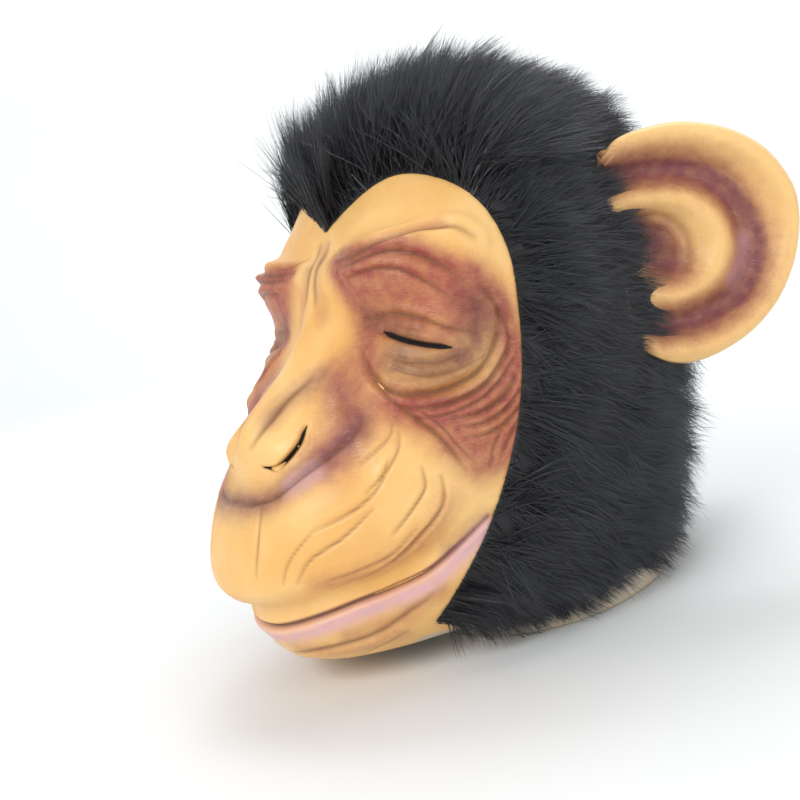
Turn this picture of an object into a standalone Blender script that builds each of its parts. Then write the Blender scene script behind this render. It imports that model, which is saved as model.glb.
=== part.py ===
"""Chimpanzee-style full-head costume mask: a hollow cast latex head, two latex ears and four fur panels.

Metres, +Z up. The mask rests on its flat neck rim at z = 0. Its face looks along -Y, and +X is the
wearer's left. Every form is worked out from the named sizes below and short tables of shares of them.
"""

import math
from typing import NamedTuple

import bmesh
import bpy
import numpy as np
from mathutils import Vector

# Driving sizes of the cast head, in metres.
HEAD_HEIGHT = 0.238
HEAD_HALF_WIDTH = 0.084
BACK_REACH = 0.107
MUZZLE_REACH = 0.148
FACE_HEIGHT = 0.190
FACE_HALF_WIDTH = 0.078
LATEX_WALL = 0.0024
SLIT_HEIGHT = 0.003
EYE_SLIT_LENGTH = 0.026
NOSTRIL_LENGTH = 0.015

# Driving sizes of the fur panels.
FUR_BACKING = 0.002
FUR_SEAT_GAP = 0.0014
SEAM_GAP = 0.0006
HEM_HEIGHT = 0.013
CROWN_PILE = 0.026
SIDE_PILE = 0.013
BACK_PILE = 0.017
EDGE_PILE = 0.0025
EAR_BARE = 0.022
EAR_FULL = 0.034
ABOVE_EAR_FADE = 0.020
HEM_FADE = 0.030
HEM_PILE_SHARE = 0.35
PILE_SCATTER = 0.14
LEAN_SCATTER = 0.2

# Driving sizes of the ears.
EAR_HEIGHT = 0.103
EAR_WIDTH = 0.088
EAR_WALL = 0.0035
EAR_MIDDLE = 0.146
EAR_TURN = 101.0
EAR_SWEEP = 57.0
EAR_SLOT = 0.005
EAR_SHADE = 0.016
EAR_SEAT_GAP = 0.0006

# The face's relief fades out over this turn before the hairline, in degrees.
RELIEF_FADE = 10.0

# The point inside the head that every direction is taken from.
CORE = np.array([0.0, -0.005, 0.5 * HEAD_HEIGHT])

# Turn of the crown's own point, in degrees: straight up has no side to blend towards.
NEARLY_UP = 0.01

# Facets: columns round the head and rows from crown to rim, with more of them in the face.
FACE_COLUMNS = 32
BACK_COLUMNS = 20
FACE_SPREAD = 66.0
HEAD_ROWS = 27
ROW_CROWDING = 0.055
SLIT_SIDES = 12
SLIT_CUTTER_WALLS = 5.0
CROWN_CELLS = (13, 12)
SIDE_CELLS = (15, 9)
BACK_ROWS_COUNT = 12

# Halvings of the searches for a height on the head, and steps of the search for a frontal place.
HALVINGS = 40
PLACE_STEPS = 30


class ProfileRow(NamedTuple):
    """One height of an outline of the head: reach as a share of that side's reach, and height share."""

    reach: float
    height: float


# Reaches are shares of MUZZLE_REACH, heights are shares of HEAD_HEIGHT.
FRONT_PROFILE = (
    ProfileRow(0.00, 1.000),
    ProfileRow(0.19, 0.966),
    ProfileRow(0.35, 0.890),
    ProfileRow(0.455, 0.800),
    ProfileRow(0.51, 0.725),
    ProfileRow(0.56, 0.640),
    ProfileRow(0.65, 0.555),
    ProfileRow(0.77, 0.470),
    ProfileRow(0.885, 0.390),
    ProfileRow(0.97, 0.315),
    ProfileRow(1.00, 0.250),
    ProfileRow(0.985, 0.185),
    ProfileRow(0.93, 0.118),
    ProfileRow(0.83, 0.055),
    ProfileRow(0.70, 0.028),
    ProfileRow(0.58, 0.030),
    ProfileRow(0.50, 0.032),
    ProfileRow(0.455, 0.016),
    ProfileRow(0.44, -0.030),
    ProfileRow(0.43, -0.100),
)

# Reaches are shares of HEAD_HALF_WIDTH.
SIDE_PROFILE = (
    ProfileRow(0.00, 1.000),
    ProfileRow(0.42, 0.970),
    ProfileRow(0.72, 0.890),
    ProfileRow(0.91, 0.775),
    ProfileRow(0.99, 0.630),
    ProfileRow(1.00, 0.500),
    ProfileRow(0.98, 0.380),
    ProfileRow(0.935, 0.250),
    ProfileRow(0.885, 0.140),
    ProfileRow(0.86, 0.040),
    ProfileRow(0.85, -0.100),
)

# Reaches are shares of BACK_REACH.
BACK_PROFILE = (
    ProfileRow(0.00, 1.000),
    ProfileRow(0.38, 0.980),
    ProfileRow(0.71, 0.900),
    ProfileRow(0.92, 0.775),
    ProfileRow(1.00, 0.630),
    ProfileRow(0.98, 0.500),
    ProfileRow(0.90, 0.370),
    ProfileRow(0.80, 0.240),
    ProfileRow(0.725, 0.130),
    ProfileRow(0.68, 0.030),
    ProfileRow(0.65, -0.100),
)


class SquareRow(NamedTuple):
    """How square the front half of a level is: 2 is an ellipse. The turn is from the crown, in degrees."""

    turn: float
    power: float


SQUARENESS = (
    SquareRow(0.0, 2.0),
    SquareRow(25.0, 2.02),
    SquareRow(45.0, 2.35),
    SquareRow(62.0, 2.85),
    SquareRow(76.0, 2.8),
    SquareRow(92.0, 2.2),
    SquareRow(110.0, 1.97),
    SquareRow(128.0, 2.0),
    SquareRow(150.0, 2.1),
)


class Swelling(NamedTuple):
    """A soft rise (or, below zero, a hollow) of the face.

    across and up are shares of FACE_HALF_WIDTH and FACE_HEIGHT, wide and tall are half-sizes in the
    same shares, and rise is a share of MUZZLE_REACH.
    """

    across: float
    up: float
    wide: float
    tall: float
    rise: float


FACE_SWELLINGS = (
    Swelling(0.54, 0.870, 0.44, 0.065, 0.070),
    Swelling(0.00, 0.830, 0.16, 0.070, 0.022),
    Swelling(0.53, 0.710, 0.30, 0.070, -0.050),
    Swelling(0.54, 0.690, 0.20, 0.045, 0.036),
    Swelling(0.60, 0.605, 0.32, 0.040, 0.022),
    Swelling(0.00, 0.700, 0.13, 0.100, 0.030),
    Swelling(0.00, 0.575, 0.20, 0.075, 0.085),
    Swelling(0.25, 0.545, 0.11, 0.045, 0.050),
    Swelling(0.78, 0.600, 0.20, 0.120, 0.035),
    Swelling(0.50, 0.400, 0.45, 0.120, 0.022),
    Swelling(0.00, 0.290, 0.75, 0.060, 0.024),
    Swelling(0.00, 0.120, 0.50, 0.055, 0.022),
)


class FoldPoint(NamedTuple):
    """A point on a fold of the face, in shares of FACE_HALF_WIDTH and FACE_HEIGHT."""

    across: float
    up: float


class Fold(NamedTuple):
    """A valley in the face: its depth and half-width are shares of MUZZLE_REACH."""

    points: tuple[FoldPoint, ...]
    depth: float
    half_width: float


MOUTH_FOLD = Fold(
    (
        FoldPoint(0.0, 0.195),
        FoldPoint(0.30, 0.207),
        FoldPoint(0.62, 0.235),
        FoldPoint(0.80, 0.265),
        FoldPoint(0.93, 0.320),
    ),
    0.036,
    0.044,
)
NOSE_FOLD = Fold((FoldPoint(0.0, 0.465), FoldPoint(0.20, 0.480), FoldPoint(0.42, 0.560)), 0.015, 0.032)
CHEEK_FOLD = Fold((FoldPoint(0.42, 0.590), FoldPoint(0.62, 0.500), FoldPoint(0.80, 0.400)), 0.024, 0.044)
BROW_FOLD = Fold((FoldPoint(0.10, 0.900), FoldPoint(0.45, 0.935), FoldPoint(0.80, 0.915)), 0.018, 0.036)
CHIN_FOLD = Fold((FoldPoint(0.0, 0.125), FoldPoint(0.35, 0.130), FoldPoint(0.60, 0.160)), 0.014, 0.036)
FACE_FOLDS = (MOUTH_FOLD, NOSE_FOLD, CHEEK_FOLD, BROW_FOLD, CHIN_FOLD)


class HairlineRow(NamedTuple):
    """The edge of the face: turn from the nose at an angle round the nose, both in degrees.

    The angle is 90 at the crown, 0 at the side and -90 under the chin.
    """

    around: float
    turn: float


HAIRLINE = (
    HairlineRow(-78.0, 52.0),
    HairlineRow(-63.0, 51.0),
    HairlineRow(-53.0, 52.0),
    HairlineRow(-43.0, 54.0),
    HairlineRow(-30.0, 56.5),
    HairlineRow(-18.0, 59.0),
    HairlineRow(-5.0, 61.5),
    HairlineRow(11.0, 64.0),
    HairlineRow(27.0, 67.0),
    HairlineRow(40.0, 66.5),
    HairlineRow(54.0, 62.5),
    HairlineRow(65.0, 58.0),
    HairlineRow(78.0, 49.0),
    HairlineRow(90.0, 43.0),
)

# Where the panels meet, in degrees round the nose and from the nose.
CROWN_EDGE = 43.0
NAPE_HALF_ANGLE = 35.0
NAPE_COLUMNS = 12
UPPER_COLUMNS = 25
SLOT_LOW = -18.0
SLOT_FADE = 8.0
SIDE_LOW = -64.0


class EarRow(NamedTuple):
    """A point of the ear's outline, from its lower root round to its upper one.

    out is a share of EAR_WIDTH from the head, up a share of EAR_HEIGHT from the ear's middle.
    """

    out: float
    up: float


EAR_OUTLINE = (
    EarRow(0.03, -0.385),
    EarRow(0.16, -0.470),
    EarRow(0.30, -0.505),
    EarRow(0.47, -0.485),
    EarRow(0.66, -0.420),
    EarRow(0.83, -0.300),
    EarRow(0.95, -0.125),
    EarRow(1.00, 0.080),
    EarRow(0.965, 0.210),
    EarRow(0.875, 0.330),
    EarRow(0.70, 0.435),
    EarRow(0.47, 0.495),
    EarRow(0.27, 0.495),
    EarRow(0.13, 0.470),
    EarRow(0.03, 0.400),
)
EAR_ROOT_LOW = -0.33
EAR_ROOT_HIGH = 0.32


class CupRow(NamedTuple):
    """The ear's cup from root (0) to rim (1): height over its plane, as a share of the way between them."""

    out: float
    height: float


EAR_CUP = (
    CupRow(0.00, 0.000),
    CupRow(0.15, -0.020),
    CupRow(0.32, -0.070),
    CupRow(0.50, -0.030),
    CupRow(0.64, 0.030),
    CupRow(0.80, -0.035),
    CupRow(0.93, 0.035),
    CupRow(1.00, 0.050),
)
EAR_COLUMNS = 18


class SlitRow(NamedTuple):
    """A slit cut through the face: its middle in face shares, its tilt outward and down in degrees."""

    across: float
    up: float
    tilt: float
    length: float


SLITS = (
    SlitRow(0.71, 0.695, 22.0, EYE_SLIT_LENGTH),
    SlitRow(0.20, 0.515, -38.0, NOSTRIL_LENGTH),
)


def soft_curve(rows: np.ndarray, at: np.ndarray) -> np.ndarray:
    """Smooth curve through rows of (place, value), read at each place in at."""
    place, value = rows[:, 0], rows[:, 1]
    slope = np.gradient(value, place)
    cell = np.clip(np.searchsorted(place, at) - 1, 0, len(place) - 2)
    width = place[cell + 1] - place[cell]
    part = np.clip((at - place[cell]) / width, 0.0, 1.0)
    rest = 1.0 - part
    return (
        value[cell] * rest**2 * (1 + 2 * part)
        + value[cell + 1] * part**2 * (3 - 2 * part)
        + width * part * rest * (slope[cell] * rest - slope[cell + 1] * part)
    )


def polar_rows(profile: tuple[ProfileRow, ...], reach: float, forward: float) -> np.ndarray:
    """Rows of (turn from the crown in degrees, distance from the core) for one outline."""
    table = np.array(profile)
    out = table[:, 0] * reach + forward
    out[0] = 0.0
    up = table[:, 1] * HEAD_HEIGHT - CORE[2]
    return np.stack([np.degrees(np.arctan2(out, up)), np.hypot(out, up)], axis=1)


FRONT_ROWS = polar_rows(FRONT_PROFILE, MUZZLE_REACH, CORE[1])
SIDE_ROWS = polar_rows(SIDE_PROFILE, HEAD_HALF_WIDTH, 0.0)
BACK_ROWS = polar_rows(BACK_PROFILE, BACK_REACH, -CORE[1])
SQUARE_ROWS = np.array(SQUARENESS)


def base_distance(direction: np.ndarray) -> np.ndarray:
    """Distance from the core to the smooth head in each unit direction."""
    turn = np.degrees(np.arccos(np.clip(direction[..., 2], -1.0, 1.0)))
    level = np.maximum(np.hypot(direction[..., 0], direction[..., 1]), 1e-9)
    ahead = np.abs(direction[..., 1]) / level
    aside = np.abs(direction[..., 0]) / level
    in_front = direction[..., 1] < 0.0
    power = np.where(in_front, soft_curve(SQUARE_ROWS, turn), 2.0)
    reach = np.where(in_front, soft_curve(FRONT_ROWS, turn), soft_curve(BACK_ROWS, turn))
    width = soft_curve(SIDE_ROWS, turn)
    return ((ahead / reach) ** power + (aside / width) ** power) ** (-1.0 / power)


def one_side(around: np.ndarray) -> np.ndarray:
    """The same angle round the nose on the wearer's left, from -90 to 90."""
    return np.degrees(np.arcsin(np.sin(np.radians(around))))


def hairline(around: np.ndarray) -> np.ndarray:
    """Turn of the edge of the face at each angle round the nose, the same on both sides."""
    return soft_curve(np.array(HAIRLINE), one_side(around))


def fold_depth(fold: Fold, across: np.ndarray, up: np.ndarray) -> np.ndarray:
    """How deep the fold is at each frontal place, in metres below zero."""
    points = np.array(fold.points) * (FACE_HALF_WIDTH, FACE_HEIGHT)
    nearest = np.full(across.shape, np.inf)
    for start, end in zip(points[:-1], points[1:]):
        run = end - start
        part = ((across - start[0]) * run[0] + (up - start[1]) * run[1]) / (run @ run)
        part = np.clip(part, 0.0, 1.0)
        gap = np.hypot(across - start[0] - part * run[0], up - start[1] - part * run[1])
        nearest = np.minimum(nearest, gap)
    return -fold.depth * MUZZLE_REACH * np.exp(-((nearest / (fold.half_width * MUZZLE_REACH)) ** 2))


def face_relief(point: np.ndarray) -> np.ndarray:
    """Rise of the face over the smooth head at each point of it, none behind the hairline."""
    across = np.abs(point[..., 0])
    up = point[..., 2]
    rise = np.zeros(across.shape)
    for swelling in FACE_SWELLINGS:
        off_across = (across - swelling.across * FACE_HALF_WIDTH) / (swelling.wide * FACE_HALF_WIDTH)
        off_up = (up - swelling.up * FACE_HEIGHT) / (swelling.tall * FACE_HEIGHT)
        rise += swelling.rise * MUZZLE_REACH * np.exp(-(off_across**2) - off_up**2)
    for fold in FACE_FOLDS:
        rise += fold_depth(fold, across, up)
    away = point - CORE
    turn = np.degrees(np.arctan2(np.hypot(away[..., 0], away[..., 2]), -away[..., 1]))
    around = np.degrees(np.arctan2(away[..., 2], np.abs(away[..., 0])))
    share = np.clip((hairline(around) - turn) / RELIEF_FADE, 0.0, 1.0)
    return rise * share * share * (3.0 - 2.0 * share)


def head_point(direction: np.ndarray) -> np.ndarray:
    """Point of the latex face or scalp in each unit direction."""
    base = CORE + direction * base_distance(direction)[..., None]
    return base + direction * face_relief(base)[..., None]


def unit(vectors: np.ndarray) -> np.ndarray:
    """The vectors at length 1."""
    return vectors / np.linalg.norm(vectors, axis=-1, keepdims=True)


def head_normal(direction: np.ndarray) -> np.ndarray:
    """Outward unit normal of the head's surface in each unit direction."""
    helper = np.where(np.abs(direction[..., 2:]) < 0.9, (0.0, 0.0, 1.0), (0.0, 1.0, 0.0))
    first = unit(np.cross(direction, helper))
    second = np.cross(direction, first)
    step = 0.01
    along = head_point(unit(direction + step * first)) - head_point(unit(direction - step * first))
    across = head_point(unit(direction + step * second)) - head_point(unit(direction - step * second))
    return unit(np.cross(along, across))


def raised(direction: np.ndarray, above: float) -> np.ndarray:
    """Point at a height straight off the head's surface, in each unit direction."""
    return head_point(direction) + head_normal(direction) * above


def from_crown(around: np.ndarray, turn: np.ndarray) -> np.ndarray:
    """Unit directions at an angle round the vertical, 0 in front, and a turn from the crown, in degrees."""
    around, turn = np.radians(around), np.radians(turn)
    flat = np.sin(turn)
    return np.stack([flat * np.sin(around), -flat * np.cos(around), np.cos(turn)], axis=-1)


def from_nose(around: np.ndarray, turn: np.ndarray) -> np.ndarray:
    """Unit directions at an angle round the nose, 90 at the crown, and a turn from the nose, in degrees."""
    around, turn = np.radians(around), np.radians(turn)
    flat = np.sin(turn)
    return np.stack([flat * np.cos(around), -np.cos(turn), flat * np.sin(around)], axis=-1)


def rim_turn(around: np.ndarray) -> np.ndarray:
    """Turn from the crown at which the head comes down to the rim, for each angle round it."""
    low, high = np.full(around.shape, 95.0), np.full(around.shape, 165.0)
    for _ in range(HALVINGS):
        middle = 0.5 * (low + high)
        over = head_point(from_crown(around, middle))[..., 2] > 0.0
        low, high = np.where(over, middle, low), np.where(over, high, middle)
    return 0.5 * (low + high)


def material(name: str, colour: tuple[float, float, float], roughness: float) -> bpy.types.Material:
    """A Principled material of one colour."""
    made = bpy.data.materials.new(name)
    made.use_nodes = True
    shader = made.node_tree.nodes["Principled BSDF"]
    shader.inputs["Base Color"].default_value = (*colour, 1.0)
    shader.inputs["Roughness"].default_value = roughness
    shader.inputs["Metallic"].default_value = 0.0
    made.diffuse_color = (*colour, 1.0)
    return made


def finished(
    name: str, shape: bmesh.types.BMesh, finish: bpy.types.Material, smooth: bool
) -> bpy.types.Object:
    """Turns a closed shape into a named object with its material."""
    bmesh.ops.recalc_face_normals(shape, faces=shape.faces)
    mesh = bpy.data.meshes.new(name)
    shape.to_mesh(mesh)
    shape.free()
    mesh.materials.append(finish)
    if smooth:
        mesh.shade_smooth()
    else:
        mesh.shade_flat()
    made = bpy.data.objects.new(name, mesh)
    bpy.context.scene.collection.objects.link(made)
    return made


def sheet(shape: bmesh.types.BMesh, points: np.ndarray, ring: bool, pole: Vector | None = None) -> None:
    """Adds a sheet of quads over rows and columns of points; a ring closes round, a pole precedes row 0."""
    verts = [[shape.verts.new(point) for point in row] for row in points]
    columns = len(verts[0])
    last = columns if ring else columns - 1
    for low, high in zip(verts[:-1], verts[1:]):
        for column in range(last):
            after = (column + 1) % columns
            shape.faces.new((low[column], low[after], high[after], high[column]))
    if pole is not None:
        top = shape.verts.new(pole)
        for column in range(last):
            shape.faces.new((top, verts[0][(column + 1) % columns], verts[0][column]))


def second_side(shape: bmesh.types.BMesh) -> tuple[list[bmesh.types.BMVert], list[bmesh.types.BMFace]]:
    """Extrudes the whole sheet once and returns the new side's vertices and faces, still in place."""
    shape.normal_update()
    made = bmesh.ops.extrude_face_region(shape, geom=shape.faces[:])["geom"]
    verts = [item for item in made if isinstance(item, bmesh.types.BMVert)]
    return verts, [item for item in made if isinstance(item, bmesh.types.BMFace)]


def move(verts: list[bmesh.types.BMVert], places: np.ndarray) -> None:
    """Moves each vertex to its place."""
    for vert, place in zip(verts, places):
        vert.co = place


def head_columns() -> np.ndarray:
    """Angles round the vertical for the head's columns, closer together in the face."""
    face = np.linspace(-FACE_SPREAD, FACE_SPREAD, FACE_COLUMNS + 1)
    back = np.linspace(FACE_SPREAD, 360.0 - FACE_SPREAD, BACK_COLUMNS + 1)[1:-1]
    return np.concatenate([face, back])


def head_rows() -> np.ndarray:
    """Shares of the way from crown to rim, closer together between brow and chin."""
    even = np.linspace(0.0, 1.0, HEAD_ROWS + 1)[1:]
    return even + ROW_CROWDING * np.sin(2.0 * math.pi * even)


def slit_prisms() -> bpy.types.Object:
    """Slim lens-shaped prisms that cut the eye and nostril slits through the wall."""
    shape = bmesh.new()
    for slit in SLITS:
        for side in (-1.0, 1.0):
            aim = np.array([side * slit.across * FACE_HALF_WIDTH, 0.0, slit.up * FACE_HEIGHT])
            middle = face_place(aim[0], aim[2])
            out = Vector(middle - CORE).normalized()
            along = Vector((side, 0.0, -math.tan(math.radians(slit.tilt)))).normalized()
            along = (along - along.project(out)).normalized()
            across = out.cross(along)
            ring = []
            for step in range(SLIT_SIDES):
                angle = math.tau * step / SLIT_SIDES
                ring.append(
                    along * (0.5 * slit.length * math.cos(angle))
                    + across * (0.5 * SLIT_HEIGHT * math.sin(angle))
                )
            deep = SLIT_CUTTER_WALLS * LATEX_WALL
            near = [shape.verts.new(Vector(middle) + edge + out * deep) for edge in ring]
            far = [shape.verts.new(Vector(middle) + edge - out * deep) for edge in ring]
            shape.faces.new(near)
            shape.faces.new(far[::-1])
            for step in range(SLIT_SIDES):
                after = (step + 1) % SLIT_SIDES
                shape.faces.new((near[step], far[step], far[after], near[after]))
    prisms = finished("slit_prisms", shape, material("slit", (0.0, 0.0, 0.0), 1.0), False)
    prisms.hide_render = True
    prisms.display_type = "WIRE"
    return prisms


def face_place(across: float, up: float) -> np.ndarray:
    """The point of the face straight behind a frontal place."""
    place = np.array([across, -0.1, up])
    for _ in range(PLACE_STEPS):
        direction = (place - CORE) / np.linalg.norm(place - CORE)
        found = head_point(direction)
        place = np.array([across, found[1], up])
    return found


def latex_head() -> bpy.types.Object:
    """The hollow cast head: face, scalp and neck, with a flat rim at z = 0."""
    around = head_columns()
    lowest = rim_turn(around)
    turns = head_rows()[:, None] * lowest[None, :]
    points = head_point(from_crown(np.broadcast_to(around, turns.shape), turns))
    points[-1, :, 2] = 0.0
    crown = head_point(from_crown(np.array(0.0), np.array(NEARLY_UP)))
    shape = bmesh.new()
    sheet(shape, points, True, Vector(crown))

    inner, _ = second_side(shape)
    normal = np.array([vert.normal for vert in inner])
    outer = np.array([vert.co for vert in inner])
    outward = np.sign(np.sum(normal * (outer - CORE), axis=1, keepdims=True))
    at_rim = outer[:, 2:] < 0.2 * LATEX_WALL
    normal = np.where(at_rim, normal * (1.0, 1.0, 0.0), normal)
    move(inner, outer - unit(normal) * outward * LATEX_WALL)
    head = finished("latex_head", shape, material("yellow_orange_latex", (0.91, 0.60, 0.27), 0.45), True)
    cut = head.modifiers.new("slits", "BOOLEAN")
    cut.operation = "DIFFERENCE"
    cut.solver = "EXACT"
    cut.object = slit_prisms()
    return head


def ear(side: float) -> bpy.types.Object:
    """One cupped latex ear, seated on the side of the head: side is 1 for the wearer's left."""
    steps = np.linspace(0.0, 1.0, EAR_COLUMNS)
    outline = np.array(EAR_OUTLINE)
    places = np.linspace(0.0, 1.0, len(outline))
    out = soft_curve(np.stack([places, outline[:, 0]], axis=1), steps) * EAR_WIDTH
    up = soft_curve(np.stack([places, outline[:, 1]], axis=1), steps) * EAR_HEIGHT
    root_up = EAR_MIDDLE + EAR_HEIGHT * (EAR_ROOT_LOW + (EAR_ROOT_HIGH - EAR_ROOT_LOW) * steps)
    front_root = scalp_line(root_up, EAR_TURN, EAR_SEAT_GAP)
    sweep = math.radians(EAR_SWEEP)
    away = np.array([math.cos(sweep), math.sin(sweep), 0.0])
    facing = np.array([math.sin(sweep), -math.cos(sweep), 0.0])
    seat = np.array(EAR_SEAT)
    rim = seat + out[:, None] * away + (EAR_MIDDLE + up - seat[2])[:, None] * np.array([0.0, 0.0, 1.0])
    cup = np.array(EAR_CUP)
    length = np.linalg.norm(rim - front_root, axis=1)
    front = []
    for row in cup:
        flat = front_root + (rim - front_root) * row[0]
        front.append(flat + (row[1] * length)[:, None] * facing)
    front = clear_of_head(np.array(front), EAR_SEAT_GAP)
    back = clear_of_head(front - facing * EAR_WALL, EAR_SEAT_GAP)
    mirror = np.array([side, 1.0, 1.0])
    shape = bmesh.new()
    sheet(shape, front * mirror, False)
    behind = (back * mirror).reshape(-1, 3)
    number = shape.verts.layers.int.new("number")
    for index, vert in enumerate(shape.verts):
        vert[number] = index
    wall, _ = second_side(shape)
    move(wall, behind[[vert[number] for vert in wall]])
    name = "ear_left" if side > 0.0 else "ear_right"
    return finished(name, shape, material(name + "_latex", (0.93, 0.62, 0.30), 0.42), True)


def clear_of_head(points: np.ndarray, above: float) -> np.ndarray:
    """Points with each one that lies lower than a height over the scalp raised to it."""
    away = points - CORE
    distance = np.linalg.norm(away, axis=-1, keepdims=True)
    direction = away / distance
    least = np.linalg.norm(head_point(direction) - CORE, axis=-1, keepdims=True)
    return CORE + direction * np.maximum(distance, least + above)


def scalp_line(heights: np.ndarray, turn: float, above: float) -> np.ndarray:
    """Points on the left side of the scalp at given heights and one turn from the nose."""
    low, high = np.full(heights.shape, -60.0), np.full(heights.shape, 89.0)
    turns = np.full(heights.shape, turn)
    for _ in range(HALVINGS):
        middle = 0.5 * (low + high)
        over = raised(from_nose(middle, turns), above)[..., 2] > heights
        low, high = np.where(over, low, middle), np.where(over, middle, high)
    return raised(from_nose(0.5 * (low + high), turns), above)


def hem_angle(turns: np.ndarray) -> np.ndarray:
    """Angle round the nose, on the left, at which the fur's backing comes down to the hem."""
    low, high = np.full(turns.shape, -90.0), np.full(turns.shape, 20.0)
    for _ in range(HALVINGS):
        middle = 0.5 * (low + high)
        over = raised(from_nose(middle, turns), FUR_SEAT_GAP)[..., 2] > HEM_HEIGHT
        low, high = np.where(over, low, middle), np.where(over, middle, high)
    return 0.5 * (low + high)


def hem_turn(around: np.ndarray, lowest: float) -> np.ndarray:
    """Turn from the nose at which a line running back and down from the occiput meets the hem."""
    low, high = np.full(around.shape, lowest), np.full(around.shape, 180.0)
    for _ in range(HALVINGS):
        middle = 0.5 * (low + high)
        over = raised(from_nose(around, middle), FUR_SEAT_GAP)[..., 2] > HEM_HEIGHT
        low, high = np.where(over, low, middle), np.where(over, middle, high)
    return 0.5 * (low + high)


def slot_share(around: np.ndarray) -> np.ndarray:
    """1 beside the ear's root and 0 away from it, by the angle round the nose."""
    return np.clip((one_side(around) - (SLOT_LOW - SLOT_FADE)) / SLOT_FADE, 0.0, 1.0)


SEAM_TURN = math.degrees(0.5 * SEAM_GAP / HEAD_HALF_WIDTH)
SLOT_TURN = math.degrees(EAR_SLOT / HEAD_HALF_WIDTH)
BEHIND_EAR = EAR_TURN + math.degrees(EAR_SHADE / HEAD_HALF_WIDTH)


def scatter(place: Vector, salt: float) -> float:
    """A repeatable value from -1 to 1 that differs from lock to lock."""
    wave = math.sin(place.x * 1731.0 + place.y * 2387.0 + place.z * 1259.0 + salt) * 43.758
    return 2.0 * (wave - math.floor(wave)) - 1.0


class FurStyle(NamedTuple):
    """How a panel's locks stand: pile in metres, lean along the flow as a share of the pile.

    The flow is one direction at the sides of the head and another along its middle.
    """

    pile: float
    lean: float
    side_flow: Vector
    middle_flow: Vector


SIDE_FLOW = Vector((0.0, 1.0, -0.35))
EAR_SEAT = Vector(scalp_line(np.array([EAR_MIDDLE]), EAR_TURN, EAR_SEAT_GAP)[0])


def lock_offset(place: Vector, out: Vector, style: FurStyle) -> Vector:
    """Where the tip of the lock over a place lies from it, shorter beside the ears and the hem.

    out is the scalp's normal there.
    """
    aside = min(abs(place.x) / (0.8 * HEAD_HALF_WIDTH), 1.0)
    wanted = style.side_flow * aside + style.middle_flow * (1.0 - aside)
    flow = wanted - wanted.project(out)
    flow = flow.normalized() if flow.length > 1e-6 else Vector((0.0, 0.0, -1.0))
    beside = Vector((abs(place.x), place.y, place.z)) - EAR_SEAT
    shade = min(max((math.hypot(beside.x, beside.y) - EAR_BARE) / EAR_FULL, 0.0), 1.0)
    clear = min(max((abs(beside.z) - 0.50 * EAR_HEIGHT) / ABOVE_EAR_FADE, 0.0), 1.0)
    low = min(max((place.z - HEM_HEIGHT) / HEM_FADE, 0.0), 1.0)
    share = max(shade, clear) * (HEM_PILE_SHARE + (1.0 - HEM_PILE_SHARE) * low)
    uneven = 1.0 - PILE_SCATTER + PILE_SCATTER * scatter(place, 0.3)
    pile = EDGE_PILE + (style.pile - EDGE_PILE) * share * uneven
    down_limit = min(style.lean, 3.0 * max(place.z - HEM_HEIGHT, 0.0) / max(pile, 1e-4))
    lean = style.lean if flow.z > -0.3 else down_limit
    return (out + flow * (lean * (1.0 + LEAN_SCATTER * scatter(place, 1.7)))) * pile


def fur_panel(
    name: str, points: np.ndarray, ring: bool, pole: Vector | None, style: FurStyle
) -> bpy.types.Object:
    """A backing that follows the scalp, with a tapered lock raised on each of its cells."""
    shape = bmesh.new()
    sheet(shape, points, ring, pole)
    shell = FUR_SEAT_GAP + FUR_BACKING
    verts, tops = second_side(shape)
    move(verts, raised(unit(np.array([vert.co for vert in verts]) - CORE), shell))
    new_side = set(tops)
    under = [face for face in shape.faces if face not in new_side]
    bmesh.ops.triangulate(shape, faces=under, quad_method="SHORT_EDGE")
    tips = bmesh.ops.poke(shape, faces=[face for face in tops if len(face.verts) == 4])["verts"]
    normals = head_normal(unit(np.array([tip.co for tip in tips]) - CORE))
    for tip, normal in zip(tips, normals):
        tip.co = tip.co + lock_offset(tip.co, Vector(normal), style)
    return finished(name, shape, material(name + "_pile", (0.035, 0.035, 0.042), 0.6), False)


def crown_fur() -> bpy.types.Object:
    """The panel over forehead and crown, up to the seams above the ears."""
    around = np.linspace(CROWN_EDGE + SEAM_TURN, 180.0 - CROWN_EDGE - SEAM_TURN, CROWN_CELLS[0])
    rows = np.linspace(0.0, 1.0, CROWN_CELLS[1])[:, None]
    start = hairline(around)
    turns = start + rows * (BEHIND_EAR - SEAM_TURN - start)
    points = raised(from_nose(np.broadcast_to(around, turns.shape), turns), FUR_SEAT_GAP)
    style = FurStyle(CROWN_PILE, 0.35, Vector((0.0, 1.0, 0.35)), Vector((0.0, 1.0, 0.35)))
    return fur_panel("crown_fur", points, False, None, style)


def side_fur(side: float) -> bpy.types.Object:
    """The panel between the edge of the face and the ear, down to the hem under the jaw."""
    columns = np.linspace(0.0, 1.0, SIDE_CELLS[0])[None, :]
    rows = np.linspace(0.0, 1.0, SIDE_CELLS[1])[:, None]
    around = SIDE_LOW + (CROWN_EDGE - SEAM_TURN - SIDE_LOW) * columns + 0.0 * rows
    for _ in range(4):
        stop = EAR_TURN - SEAM_TURN - SLOT_TURN * slot_share(around)
        turns = hairline(around) + rows * (stop - hairline(around))
        lowest = np.maximum(hem_angle(turns), SIDE_LOW)
        around = lowest + (CROWN_EDGE - SEAM_TURN - lowest) * columns
    points = raised(from_nose(around, turns), FUR_SEAT_GAP) * np.array([side, 1.0, 1.0])
    name = "side_fur_left" if side > 0.0 else "side_fur_right"
    return fur_panel(name, points, False, None, FurStyle(SIDE_PILE, 0.9, SIDE_FLOW, SIDE_FLOW))


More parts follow.
